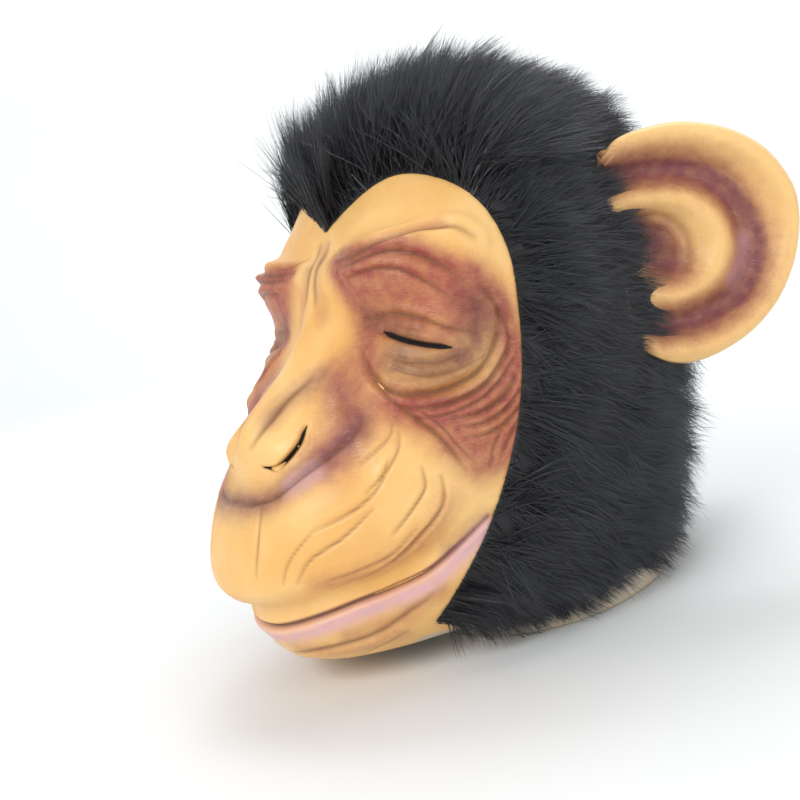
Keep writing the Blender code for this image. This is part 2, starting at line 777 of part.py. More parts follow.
def back_fur() -> bpy.types.Object:
    """The panel over the back of the head, from the seam behind the crown and ears down to the hem."""
    upper = np.linspace(NAPE_HALF_ANGLE - 90.0, 270.0 - NAPE_HALF_ANGLE, UPPER_COLUMNS + 1)
    nape = np.linspace(270.0 - NAPE_HALF_ANGLE, 270.0 + NAPE_HALF_ANGLE, NAPE_COLUMNS + 1)[1:-1]
    around = np.concatenate([upper, nape])
    first = EAR_TURN + SEAM_TURN + (BEHIND_EAR - EAR_TURN) * slot_share(around)
    first = np.maximum(first, hem_turn(around, EAR_TURN))
    rows = np.linspace(1.0, 0.0, BACK_ROWS_COUNT)[:-1][::-1][:, None]
    turns = 180.0 - rows * (180.0 - first)
    points = raised(from_nose(np.broadcast_to(around, turns.shape), turns), FUR_SEAT_GAP)
    pole = Vector(raised(np.array([0.0, 1.0, 0.0]), FUR_SEAT_GAP))
    style = FurStyle(BACK_PILE, 0.7, SIDE_FLOW, Vector((0.0, 0.35, -1.0)))
    return fur_panel("back_fur", points, True, pole, style)


def centre_on_origin(pieces: list[bpy.types.Object]) -> None:
    """Hangs every object on one empty, placed so that the overall box stands centred on the origin."""
    corners = np.concatenate([[vert.co for vert in piece.data.vertices] for piece in pieces])
    root = bpy.data.objects.new("mask_root", None)
    bpy.context.scene.collection.objects.link(root)
    middle = 0.5 * (corners.min(axis=0) + corners.max(axis=0))
    root.location = (0.0, -middle[1], 0.0)
    for item in list(bpy.data.objects):
        if item is not root:
            item.parent = root


def main() -> None:
    """Clears the scene and builds the seven pieces."""
    for left_over in list(bpy.data.objects):
        bpy.data.objects.remove(left_over)
    pieces = [latex_head(), ear(1.0), ear(-1.0), crown_fur(), side_fur(1.0), side_fur(-1.0), back_fur()]
    centre_on_origin(pieces)


main()
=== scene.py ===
"""Studio scene of a chimpanzee-style full-head costume mask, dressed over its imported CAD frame.

Metres, +Z up, the face along -Y, +X the wearer's left. The latex head, the two ears and the four fur
panels each replace the CAD solid of the same part. Blender 4.5.
"""

import logging
import math
from dataclasses import dataclass, field
from enum import Enum
from typing import NamedTuple

import bmesh
import bpy
import numpy as np
from mathutils import Matrix, Vector


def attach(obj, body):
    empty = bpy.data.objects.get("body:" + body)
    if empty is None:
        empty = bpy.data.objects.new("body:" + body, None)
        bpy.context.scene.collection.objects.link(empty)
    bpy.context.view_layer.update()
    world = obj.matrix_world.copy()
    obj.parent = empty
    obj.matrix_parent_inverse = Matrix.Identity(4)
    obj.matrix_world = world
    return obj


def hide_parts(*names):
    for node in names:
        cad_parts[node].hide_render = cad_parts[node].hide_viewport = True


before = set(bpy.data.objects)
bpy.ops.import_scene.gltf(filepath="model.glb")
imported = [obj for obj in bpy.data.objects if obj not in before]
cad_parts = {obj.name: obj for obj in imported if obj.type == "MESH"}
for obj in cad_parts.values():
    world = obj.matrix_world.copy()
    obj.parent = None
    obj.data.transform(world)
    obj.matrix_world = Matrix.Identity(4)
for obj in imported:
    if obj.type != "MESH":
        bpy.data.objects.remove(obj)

LOG = logging.getLogger("ape_mask")
MM = 0.001


# The head's form, the same as the solids'


class ProfileRow(NamedTuple):
    """A height on an outline of the head: its reach and its height, as shares of the named sizes."""

    reach: float
    height: float


class SquareRow(NamedTuple):
    """How square the front half of a level is (2 is an ellipse) at a turn from the crown in degrees."""

    turn: float
    power: float


class Swelling(NamedTuple):
    """A soft rise of the face, or below zero a hollow, in shares of the face's half width and height."""

    across: float
    up: float
    wide: float
    tall: float
    rise: float


class FoldPoint(NamedTuple):
    """A point on a fold, in shares of the face's half width and height."""

    across: float
    up: float


class Fold(NamedTuple):
    """A broad valley in the face, its depth and half width as shares of the muzzle's reach."""

    points: tuple[FoldPoint, ...]
    depth: float
    half_width: float


class HairlineRow(NamedTuple):
    """The face's edge: turn from the nose at an angle round the nose, both in degrees."""

    around: float
    turn: float


FRONT_PROFILE = (
    ProfileRow(0.00, 1.000),
    ProfileRow(0.19, 0.966),
    ProfileRow(0.35, 0.890),
    ProfileRow(0.455, 0.800),
    ProfileRow(0.51, 0.725),
    ProfileRow(0.56, 0.640),
    ProfileRow(0.65, 0.555),
    ProfileRow(0.77, 0.470),
    ProfileRow(0.885, 0.390),
    ProfileRow(0.97, 0.315),
    ProfileRow(1.00, 0.250),
    ProfileRow(0.985, 0.185),
    ProfileRow(0.93, 0.118),
    ProfileRow(0.83, 0.055),
    ProfileRow(0.70, 0.028),
    ProfileRow(0.58, 0.030),
    ProfileRow(0.50, 0.032),
    ProfileRow(0.455, 0.016),
    ProfileRow(0.44, -0.030),
    ProfileRow(0.43, -0.100),
)
SIDE_PROFILE = (
    ProfileRow(0.00, 1.000),
    ProfileRow(0.42, 0.970),
    ProfileRow(0.72, 0.890),
    ProfileRow(0.91, 0.775),
    ProfileRow(0.99, 0.630),
    ProfileRow(1.00, 0.500),
    ProfileRow(0.98, 0.380),
    ProfileRow(0.935, 0.250),
    ProfileRow(0.885, 0.140),
    ProfileRow(0.86, 0.040),
    ProfileRow(0.85, -0.100),
)
BACK_PROFILE = (
    ProfileRow(0.00, 1.000),
    ProfileRow(0.38, 0.980),
    ProfileRow(0.71, 0.900),
    ProfileRow(0.92, 0.775),
    ProfileRow(1.00, 0.630),
    ProfileRow(0.98, 0.500),
    ProfileRow(0.90, 0.370),
    ProfileRow(0.80, 0.240),
    ProfileRow(0.725, 0.130),
    ProfileRow(0.68, 0.030),
    ProfileRow(0.65, -0.100),
)
SQUARENESS = (
    SquareRow(0.0, 2.0),
    SquareRow(25.0, 2.02),
    SquareRow(45.0, 2.35),
    SquareRow(62.0, 2.85),
    SquareRow(76.0, 2.8),
    SquareRow(92.0, 2.2),
    SquareRow(110.0, 1.97),
    SquareRow(128.0, 2.0),
    SquareRow(150.0, 2.1),
)
SWELLINGS = (
    Swelling(0.54, 0.870, 0.44, 0.065, 0.070),
    Swelling(0.00, 0.830, 0.16, 0.070, 0.022),
    Swelling(0.53, 0.710, 0.30, 0.070, -0.050),
    Swelling(0.54, 0.690, 0.20, 0.045, 0.036),
    Swelling(0.60, 0.605, 0.32, 0.040, 0.022),
    Swelling(0.00, 0.700, 0.13, 0.100, 0.030),
    Swelling(0.00, 0.575, 0.20, 0.075, 0.085),
    Swelling(0.25, 0.545, 0.11, 0.045, 0.050),
    Swelling(0.78, 0.600, 0.20, 0.120, 0.035),
    Swelling(0.50, 0.400, 0.45, 0.120, 0.022),
    Swelling(0.00, 0.290, 0.75, 0.060, 0.024),
    Swelling(0.00, 0.120, 0.50, 0.055, 0.022),
)
MOUTH_FOLD = Fold(
    (
        FoldPoint(0.0, 0.195),
        FoldPoint(0.30, 0.207),
        FoldPoint(0.62, 0.235),
        FoldPoint(0.80, 0.265),
        FoldPoint(0.93, 0.320),
    ),
    0.036,
    0.044,
)
NOSE_FOLD = Fold((FoldPoint(0.0, 0.465), FoldPoint(0.20, 0.480), FoldPoint(0.42, 0.560)), 0.015, 0.032)
CHEEK_FOLD = Fold((FoldPoint(0.42, 0.590), FoldPoint(0.62, 0.500), FoldPoint(0.80, 0.400)), 0.024, 0.044)
BROW_FOLD = Fold((FoldPoint(0.10, 0.900), FoldPoint(0.45, 0.935), FoldPoint(0.80, 0.915)), 0.018, 0.036)
CHIN_FOLD = Fold((FoldPoint(0.0, 0.125), FoldPoint(0.35, 0.130), FoldPoint(0.60, 0.160)), 0.014, 0.036)
HAIRLINE = (
    HairlineRow(-78.0, 52.0),
    HairlineRow(-63.0, 51.0),
    HairlineRow(-53.0, 52.0),
    HairlineRow(-43.0, 54.0),
    HairlineRow(-30.0, 56.5),
    HairlineRow(-18.0, 59.0),
    HairlineRow(-5.0, 61.5),
    HairlineRow(11.0, 64.0),
    HairlineRow(27.0, 67.0),
    HairlineRow(40.0, 66.5),
    HairlineRow(54.0, 62.5),
    HairlineRow(65.0, 58.0),
    HairlineRow(78.0, 49.0),
    HairlineRow(90.0, 43.0),
)


def soft_curve(rows: np.ndarray, at: np.ndarray) -> np.ndarray:
    """Reads a smooth curve through rows of (place, value).

    Args:
        rows: Places and values, one row each, places rising.
        at: Places to read.

    Returns:
        The value at each place.
    """
    place = rows[:, 0]
    value = rows[:, 1]
    slope = np.gradient(value, place)
    cell = np.clip(np.searchsorted(place, at) - 1, 0, len(place) - 2)
    width = place[cell + 1] - place[cell]
    part = np.clip((at - place[cell]) / width, 0.0, 1.0)
    rest = 1.0 - part
    return (
        value[cell] * rest**2 * (1 + 2 * part)
        + value[cell + 1] * part**2 * (3 - 2 * part)
        + width * part * rest * (slope[cell] * rest - slope[cell + 1] * part)
    )


def unit(vectors: np.ndarray) -> np.ndarray:
    """Returns the vectors at length 1."""
    return vectors / np.maximum(np.linalg.norm(vectors, axis=-1, keepdims=True), 1e-12)


def smooth_step(share: np.ndarray) -> np.ndarray:
    """Returns a soft step from 0 to 1 as share goes from 0 to 1."""
    held = np.clip(share, 0.0, 1.0)
    return held * held * (3.0 - 2.0 * held)


def line_distance(points: np.ndarray, line: np.ndarray) -> tuple[np.ndarray, np.ndarray]:
    """Measures how far points lie from a polyline.

    Args:
        points: Points, one a row.
        line: The polyline's points.

    Returns:
        Distance of each point, and how far along the line (0 to 1) its nearest place is.
    """
    nearest = np.full(len(points), np.inf)
    along = np.zeros(len(points))
    steps = np.linalg.norm(np.diff(line, axis=0), axis=1)
    start_at = np.concatenate([[0.0], np.cumsum(steps)])
    for index, (start, end) in enumerate(zip(line[:-1], line[1:])):
        run = end - start
        part = np.clip((points - start) @ run / max(run @ run, 1e-18), 0.0, 1.0)
        gap = np.linalg.norm(points - start - part[:, None] * run, axis=1)
        closer = gap < nearest
        nearest = np.where(closer, gap, nearest)
        along = np.where(closer, (start_at[index] + part * steps[index]) / start_at[-1], along)
    return nearest, along


def smooth_line(corners: np.ndarray, steps: int = 6) -> np.ndarray:
    """Draws a smooth line through corners.

    Args:
        corners: The places it passes, one a row.
        steps: Pieces between two corners.

    Returns:
        The line's points.
    """
    places = np.arange(len(corners), dtype=float)
    fine = np.linspace(0.0, len(corners) - 1.0, steps * (len(corners) - 1) + 1)
    columns = []
    for column in range(corners.shape[1]):
        columns.append(soft_curve(np.stack([places, corners[:, column]], axis=1), fine))
    return np.stack(columns, axis=1)


@dataclass(frozen=True)
class HeadForm:
    """The smooth head that latex, ears and fur all stand on, worked out as the CAD source does it."""

    height: float = 0.238
    half_width: float = 0.084
    back_reach: float = 0.107
    muzzle_reach: float = 0.148
    face_height: float = 0.190
    face_half_width: float = 0.078
    core_behind: float = 0.005
    frame_shift: float = 0.0112
    relief_fade: float = 10.0

    @property
    def core(self) -> np.ndarray:
        """The point inside the head that every direction is taken from."""
        return np.array([0.0, self.frame_shift - self.core_behind, 0.5 * self.height])

    def polar_rows(self, profile: tuple[ProfileRow, ...], reach: float, forward: float) -> np.ndarray:
        """Turns an outline into rows of turn from the crown and distance from the core.

        Args:
            profile: The outline.
            reach: What its reaches are shares of.
            forward: How far the outline's axis lies from the core.

        Returns:
            Rows of (turn in degrees, distance).
        """
        table = np.array(profile)
        out = table[:, 0] * reach + forward
        out[0] = 0.0
        up = table[:, 1] * self.height - 0.5 * self.height
        return np.stack([np.degrees(np.arctan2(out, up)), np.hypot(out, up)], axis=1)

    def base_distance(self, direction: np.ndarray) -> np.ndarray:
        """Returns the distance from the core to the smooth head in each unit direction."""
        front_rows = self.polar_rows(FRONT_PROFILE, self.muzzle_reach, -self.core_behind)
        side_rows = self.polar_rows(SIDE_PROFILE, self.half_width, 0.0)
        back_rows = self.polar_rows(BACK_PROFILE, self.back_reach, self.core_behind)
        turn = np.degrees(np.arccos(np.clip(direction[..., 2], -1.0, 1.0)))
        level = np.hypot(direction[..., 0], direction[..., 1])
        upright = level < 1e-6
        level = np.maximum(level, 1e-9)
        ahead = np.where(upright, 1.0, np.abs(direction[..., 1]) / level)
        aside = np.where(upright, 0.0, np.abs(direction[..., 0]) / level)
        in_front = direction[..., 1] < 0.0
        power = np.where(in_front, soft_curve(np.array(SQUARENESS), turn), 2.0)
        reach = np.where(in_front, soft_curve(front_rows, turn), soft_curve(back_rows, turn))
        width = soft_curve(side_rows, turn)
        return ((ahead / reach) ** power + (aside / width) ** power) ** (-1.0 / power)

    def hairline(self, around: np.ndarray) -> np.ndarray:
        """Returns the turn of the face's edge at each angle round the nose, the same on both sides."""
        one_side = np.degrees(np.arcsin(np.sin(np.radians(around))))
        return soft_curve(np.array(HAIRLINE), one_side)

    def face_share(self, direction: np.ndarray) -> np.ndarray:
        """Returns 1 in the face and 0 behind its edge, fading before it."""
        turn = np.degrees(np.arctan2(np.hypot(direction[..., 0], direction[..., 2]), -direction[..., 1]))
        around = np.degrees(np.arctan2(direction[..., 2], np.abs(direction[..., 0])))
        return smooth_step((self.hairline(around) - turn) / self.relief_fade)

    def relief(self, point: np.ndarray) -> np.ndarray:
        """Returns the rise of the face's broad forms over the smooth head at each point."""
        share = self.face_share(point - self.core)
        found = share > 0.0
        across = np.abs(point[found][:, 0])
        up = point[found][:, 2]
        rise = np.zeros(across.shape)
        for swelling in SWELLINGS:
            off_across = (across / self.face_half_width - swelling.across) / swelling.wide
            off_up = (up / self.face_height - swelling.up) / swelling.tall
            rise += swelling.rise * self.muzzle_reach * np.exp(-(off_across**2) - off_up**2)
        flat = np.stack([across, up], axis=-1)
        for fold in (MOUTH_FOLD, NOSE_FOLD, CHEEK_FOLD, BROW_FOLD, CHIN_FOLD):
            line = np.array(fold.points) * (self.face_half_width, self.face_height)
            spread = line_distance(flat, line)[0] / (fold.half_width * self.muzzle_reach)
            rise -= fold.depth * self.muzzle_reach * np.exp(-(spread**2))
        share[found] *= rise
        return share

    def point(self, direction: np.ndarray) -> np.ndarray:
        """Returns the point of the face or scalp in each unit direction."""
        base = self.core + direction * self.base_distance(direction)[..., None]
        return base + direction * self.relief(base)[..., None]

    def normal(self, direction: np.ndarray) -> np.ndarray:
        """Returns the outward unit normal of the surface in each unit direction."""
        steep = np.abs(direction[..., 2:]) < 0.9
        helper = np.where(steep, (0.0, 0.0, 1.0), (0.0, 1.0, 0.0))
        first = unit(np.cross(direction, helper))
        second = np.cross(direction, first)
        step = 0.01
        ahead = self.point(unit(direction + step * first)) - self.point(unit(direction - step * first))
        aside = self.point(unit(direction + step * second)) - self.point(unit(direction - step * second))
        return unit(np.cross(ahead, aside))

    def direction_at(self, azimuth: np.ndarray, elevation: np.ndarray) -> np.ndarray:
        """Returns unit directions at an azimuth from the nose and an elevation over the core, in degrees."""
        turn = np.radians(azimuth)
        lift = np.radians(elevation)
        flat = np.cos(lift)
        return np.stack([flat * np.sin(turn), -flat * np.cos(turn), np.sin(lift)], axis=-1)

    def from_nose(self, around: np.ndarray, turn: np.ndarray) -> np.ndarray:
        """Returns unit directions at an angle round the nose, 90 at the crown, and a turn from the nose."""
        angle = np.radians(around)
        away = np.radians(turn)
        flat = np.sin(away)
        return np.stack([flat * np.cos(angle), -np.cos(away), flat * np.sin(angle)], axis=-1)

    def rim_turn(self, azimuth: np.ndarray) -> np.ndarray:
        """Returns the turn from the crown at which the head comes down to the rim at each azimuth."""
        low = np.full(azimuth.shape, 95.0)
        high = np.full(azimuth.shape, 165.0)
        for _ in range(30):
            middle = 0.5 * (low + high)
            over = self.point(self.direction_at(azimuth, 90.0 - middle))[..., 2] > 0.0
            low = np.where(over, middle, low)
            high = np.where(over, high, middle)
        return 0.5 * (low + high)


def second_side(shape: bmesh.types.BMesh, wall: float) -> None:
    """Gives an open sheet its thickness by extruding it and moving the old side inwards.

    Args:
        shape: The sheet, its faces outwards.
        wall: The thickness.
    """
    shape.normal_update()
    inward = [(vert, vert.normal.copy()) for vert in shape.verts]
    made = bmesh.ops.extrude_face_region(shape, geom=shape.faces[:])["geom"]
    kept = {item for item in made if isinstance(item, bmesh.types.BMVert)}
    for vert, normal in inward:
        if vert not in kept:
            vert.co = vert.co - normal * wall
    bmesh.ops.recalc_face_normals(shape, faces=shape.faces)


# Fine lines and painted tints of the face


class Spot(NamedTuple):
    """A place on the face: azimuth from the nose and elevation over the core, in degrees."""

    azimuth: float
    elevation: float


class Crease(NamedTuple):
    """A line pressed into the latex: depth and half width in millimetres, and its lips' rise as a share."""

    spots: tuple[Spot, ...]
    depth: float
    half_width: float
    lip: float = 0.35


class Tint(Enum):
    """The paints that colour the latex, and the painted shade of its openings."""

    FLUSH = "flush"
    MAUVE = "mauve"
    # Lip paint on the face; on the ears the same tint is a painted highlight.
    LILAC = "lilac"
    BAG = "bag"
    # Painted shade: near black, standing in for the dark inside the eye openings, nostrils and ear canals.
    SLIT_SHADE = "slit"
    CREAM = "cream"


class Stroke(NamedTuple):
    """A soft brush stroke of one tint along a line, half width in millimetres."""

    tint: Tint
    spots: tuple[Spot, ...]
    half_width: float
    strength: float


MOUTH_LINE = (
    Spot(0, -33), Spot(9, -33), Spot(18, -33.5), Spot(25, -34.5), Spot(32, -35), Spot(38, -34), Spot(46, -32),
)
LIP_LINE = (
    Spot(0, -34.6), Spot(9, -34.6), Spot(18, -35.1), Spot(25, -36.2), Spot(32, -36.8), Spot(38, -35.8),
    Spot(45, -33.8),
)
BROW_LINE = (
    Spot(12, 32), Spot(20, 30.5), Spot(28, 30), Spot(36, 31), Spot(44, 32), Spot(52, 31), Spot(57, 28),
)
LID_LINE = (Spot(15, 29.5), Spot(23, 28.5), Spot(31, 28), Spot(38, 27), Spot(45, 24), Spot(52, 19))
BAG_LINE = (Spot(59, 10), Spot(57, 4), Spot(51, -2), Spot(42, -4), Spot(33, -2), Spot(26, 3), Spot(22, 9))
EYE_SLIT = (Spot(29, 11.5), Spot(34, 9), Spot(40, 6.5), Spot(46, 4.5))
NOSTRIL = (Spot(6, -10.5), Spot(8.5, -11), Spot(11, -10), Spot(13, -8), Spot(13.5, -5.5))
UNDER_NOSE = (Spot(0, -15), Spot(5, -15), Spot(10, -14.5), Spot(15, -12.5), Spot(20, -10.5), Spot(25, -7))

CREASES = (
    Crease(BROW_LINE, 2.4, 2.4, 0.45),
    Crease(LID_LINE, 2.0, 1.8, 0.5),
    Crease((Spot(20, 26), Spot(28, 25.5), Spot(36, 24), Spot(43, 20), Spot(49, 15)), 1.0, 1.2),
    Crease((Spot(24, 15), Spot(31, 15.5), Spot(39, 13), Spot(46, 9), Spot(51, 7)), 1.2, 1.2),
    Crease(BAG_LINE, 2.2, 1.7, 0.5),
    Crease((Spot(30, 6), Spot(36, 3.5), Spot(43, 2), Spot(50, 3)), 0.8, 1.0),
    Crease((Spot(32, 3), Spot(39, 0), Spot(46, -0.5), Spot(53, 1)), 0.7, 0.9),
    Crease((Spot(56, 17), Spot(59, 11), Spot(60, 4), Spot(58, -1)), 1.2, 1.2),
    Crease((Spot(60, 2), Spot(55, -3), Spot(50, -6), Spot(42, -7), Spot(35, -5.5)), 1.5, 1.4),
    Crease((Spot(60, -2), Spot(55, -6), Spot(49, -8.5), Spot(42, -9), Spot(37, -8)), 1.1, 1.1),
    Crease((Spot(60, -6), Spot(57, -9), Spot(53, -10.5), Spot(48, -11), Spot(43, -10)), 1.4, 1.3),
    Crease((Spot(61, -9), Spot(56, -12.5), Spot(50, -13.5), Spot(45, -12.5)), 1.1, 1.1),
    Crease((Spot(60, -13), Spot(55, -15.5), Spot(50, -16), Spot(46, -15)), 1.1, 1.1),
    Crease((Spot(58, -16), Spot(55, -19), Spot(52, -22)), 0.7, 0.9),
    Crease((Spot(55, -15), Spot(51, -19), Spot(49, -23)), 0.6, 0.9),
    Crease((Spot(28, 1), Spot(32, -3), Spot(39, -11), Spot(42, -16), Spot(44, -21)), 1.5, 1.4),
    Crease((Spot(37, -6), Spot(41, -11), Spot(43, -15), Spot(46, -20)), 0.8, 1.0),
    Crease((Spot(3, 40), Spot(2, 30), Spot(3, 22)), 0.8, 2.4),
    Crease((Spot(8, 37), Spot(15, 33), Spot(23, 32)), 0.5, 0.9),
    Crease((Spot(9, 3), Spot(6, 0), Spot(5, -3), Spot(3, -7)), 1.4, 2.6),
    Crease(NOSTRIL, 1.9, 1.0, 0.4),
    Crease(EYE_SLIT, 2.0, 1.5, 0.5),
    Crease(UNDER_NOSE, 1.3, 1.5),
    Crease((Spot(32, -8), Spot(31, -10), Spot(28, -12), Spot(25, -13.5)), 0.6, 0.8),
    Crease((Spot(33, -10), Spot(32, -13), Spot(29, -16), Spot(26, -17.5)), 0.9, 0.9),
    Crease((Spot(30, -14), Spot(28, -17.5), Spot(24, -19), Spot(18, -19.5)), 0.9, 0.9),
    Crease((Spot(36, -17), Spot(35.5, -21), Spot(33, -23), Spot(29, -25)), 0.9, 0.9),
    Crease((Spot(39, -20), Spot(38, -25), Spot(32, -28), Spot(25, -30), Spot(17, -29.5)), 1.2, 1.0),
    Crease((Spot(27, -20), Spot(22, -22), Spot(17, -23), Spot(14, -25.5)), 0.9, 0.9),
    Crease((Spot(33, -26), Spot(27, -28), Spot(18, -27)), 0.6, 0.8),
    Crease((Spot(18, -19.5), Spot(14, -22), Spot(12, -25)), 0.6, 0.8),
    Crease((Spot(8, -15.5), Spot(8.3, -19), Spot(8, -23)), 0.7, 0.9),
    Crease(MOUTH_LINE, 2.6, 1.1, 0.3),
    Crease((Spot(0, -39), Spot(8, -38.5), Spot(20, -40), Spot(31, -39)), 1.0, 1.6),
    Crease((Spot(3, -43), Spot(14, -43.5), Spot(24, -43)), 0.6, 1.2),
)

STROKES = (
    Stroke(
        Tint.FLUSH,
        (Spot(14, 31), Spot(22, 30), Spot(30, 28.5), Spot(37, 28), Spot(43, 26), Spot(53, 20)),
        4.0,
        1.0,
    ),
    Stroke(Tint.FLUSH, (Spot(12, 33), Spot(26, 30.5), Spot(35, 30.5), Spot(41, 32), Spot(49, 32)), 2.4, 0.5),
    Stroke(
        Tint.FLUSH, (Spot(17, 27), Spot(30, 25.5), Spot(40, 22.5), Spot(48, 18.5), Spot(52, 13)), 5.5, 0.95
    ),
    Stroke(Tint.FLUSH, (Spot(22, 22), Spot(32, 20), Spot(42, 16), Spot(50, 11)), 6.0, 0.85),
    Stroke(Tint.FLUSH, (Spot(19, 26), Spot(22, 18), Spot(24, 10), Spot(27, 3)), 5.5, 0.85),
    Stroke(Tint.FLUSH, (Spot(27, 13), Spot(35, 12), Spot(44, 8)), 6.0, 0.75),
    Stroke(Tint.FLUSH, (Spot(54, 19), Spot(59, 13), Spot(60, 6), Spot(60, -1)), 5.5, 0.95),
    Stroke(Tint.FLUSH, (Spot(59, -4), Spot(54, -7), Spot(48, -8), Spot(40, -7), Spot(33, -4)), 6.0, 0.95),
    Stroke(Tint.FLUSH, (Spot(22, -1), Spot(30, -4), Spot(38, -7)), 6.0, 0.5),
    Stroke(Tint.FLUSH, (Spot(61, -10), Spot(55, -12), Spot(47, -12), Spot(41, -9)), 6.5, 0.9),
    Stroke(Tint.FLUSH, (Spot(60, -16), Spot(53, -19), Spot(47, -18), Spot(43, -15)), 6.0, 0.9),
    Stroke(Tint.FLUSH, (Spot(58, -20), Spot(52, -23), Spot(46, -22)), 4.5, 0.7),
    Stroke(Tint.FLUSH, (Spot(18, 3), Spot(21, -3), Spot(22, -8), Spot(19, -11)), 9.0, 0.75),
    Stroke(Tint.FLUSH, (Spot(1, 38), Spot(4, 28), Spot(6, 18)), 3.5, 0.3),
    # Painted shade along the muzzle creases above the mouth, in the flush colour.
    Stroke(Tint.FLUSH, (Spot(17, -27), Spot(24, -29), Spot(33, -29), Spot(39, -25)), 4.5, 0.4),
    Stroke(Tint.FLUSH, (Spot(15, -38), Spot(23, -39.5), Spot(33, -39)), 3.6, 0.5),
    Stroke(Tint.FLUSH, (Spot(5, -37.5), Spot(12, -40), Spot(22, -43)), 4.0, 0.4),
    Stroke(Tint.MAUVE, UNDER_NOSE, 4.8, 0.9),
    Stroke(Tint.MAUVE, (Spot(11, 3), Spot(7, 0), Spot(5, -3)), 5.0, 0.6),
    Stroke(Tint.MAUVE, (Spot(17, 0), Spot(21, -5), Spot(19, -10)), 6.0, 0.4),
    Stroke(Tint.MAUVE, MOUTH_LINE, 0.9, 0.75),
    Stroke(Tint.MAUVE, (Spot(37, -34), Spot(45, -32)), 3.4, 0.6),
    Stroke(Tint.LILAC, LIP_LINE, 3.1, 1.0),
    Stroke(Tint.LILAC, (Spot(13, -13.5), Spot(17, -12.5)), 3.2, 0.6),
    Stroke(Tint.BAG, (Spot(34, 4), Spot(41, 1), Spot(48, 2), Spot(53, 7), Spot(54, 13)), 7.0, 0.85),
    Stroke(Tint.BAG, (Spot(24, 16), Spot(30, 13), Spot(36, 10)), 5.0, 0.6),
    # Painted shade filling the eye opening and the nostril.
    Stroke(Tint.SLIT_SHADE, EYE_SLIT, 1.2, 1.0),
    Stroke(Tint.SLIT_SHADE, NOSTRIL, 0.8, 1.0),
)


@dataclass(frozen=True)
class FaceDetail:
    """Reads the creases' depth, the painted shade laid in them and the tints' strength on the face."""

    form: HeadForm
    reach: float = 5.0
    lip_place: float = 2.1
    lip_width: float = 0.9
    # How strong and how wide the painted shade in each crease is.
    crease_shade_least: float = 0.40
    crease_shade_full_depth: float = 2.0
    crease_shade_width: float = 0.60
    paint_reach: float = 4.0
    paint_fall: float = 2.0
    slit_fall: float = 8.0
    edge_fall: float = 0.6
    slit_end: float = 0.25

    def line_of(self, spots: tuple[Spot, ...]) -> np.ndarray:
        """Returns the points on the smooth face under a line of spots."""
        corners = smooth_line(np.array(spots))
        return self.form.point(self.form.direction_at(corners[:, 0], corners[:, 1]))

    def near(self, points: np.ndarray, line: np.ndarray, reach: float) -> np.ndarray:
        """Returns the indices of points inside the line's box widened by a reach."""
        low = line.min(axis=0) - reach
        high = line.max(axis=0) + reach
        return np.flatnonzero(np.all((points > low) & (points < high), axis=1))

    def creases(self, points: np.ndarray) -> tuple[np.ndarray, np.ndarray]:
        """Adds up the creases.

        Args:
            points: Points of the face, folded onto the wearer's left side.

        Returns:
            The rise of each point, negative in a crease, and the strength of the painted shade laid in the
            crease there, 0 to 1, stronger in deeper creases.
        """
        rise = np.zeros(len(points))
        crease_shade = np.zeros(len(points))
        for crease in CREASES:
            line = self.line_of(crease.spots)
            width = crease.half_width * MM
            found = self.near(points, line, self.reach * width)
            gap, along = line_distance(points[found], line)
            taper = np.sqrt(np.clip(np.sin(math.pi * (0.04 + 0.92 * along)), 0.0, 1.0))
            starts_at_middle = crease.spots[0].azimuth == 0
            if starts_at_middle:
                taper = np.where(along < 0.5, 1.0, taper)
            valley = np.exp(-((gap / width) ** 2))
            lips = crease.lip * np.exp(-(((gap - self.lip_place * width) / (self.lip_width * width)) ** 2))
            rise[found] += crease.depth * MM * taper * (lips - valley)
            # Painted shade in the crease, stronger the deeper the crease is.
            strength = min(self.crease_shade_least + crease.depth / self.crease_shade_full_depth, 1.0)
            mark = strength * taper * np.exp(-((gap / (self.crease_shade_width * width)) ** 2))
            crease_shade[found] = np.maximum(crease_shade[found], mark)
        return rise, crease_shade

    def tints(self, points: np.ndarray) -> dict[Tint, np.ndarray]:
        """Returns the strength of each tint at points folded onto the wearer's left side."""
        painted = {}
        for tint in Tint:
            painted[tint] = np.zeros(len(points))
        for stroke in STROKES:
            line = self.line_of(stroke.spots)
            width = stroke.half_width * MM
            found = self.near(points, line, self.paint_reach * width)
            gap, along = line_distance(points[found], line)
            fall = self.paint_fall
            # The painted shade of the openings has a harder edge and narrows at its ends.
            if stroke.tint is Tint.SLIT_SHADE:
                fall = self.slit_fall
                taper = 1.6 * np.sqrt(np.sin(math.pi * np.clip(along, 0.02, 0.98)))
                width = width * np.clip(taper, self.slit_end, 1.0)
            strength = stroke.strength * np.exp(-self.edge_fall * (gap / width) ** fall)
            before = painted[stroke.tint][found]
            painted[stroke.tint][found] = 1.0 - (1.0 - before) * (1.0 - strength)
        return painted


# Materials


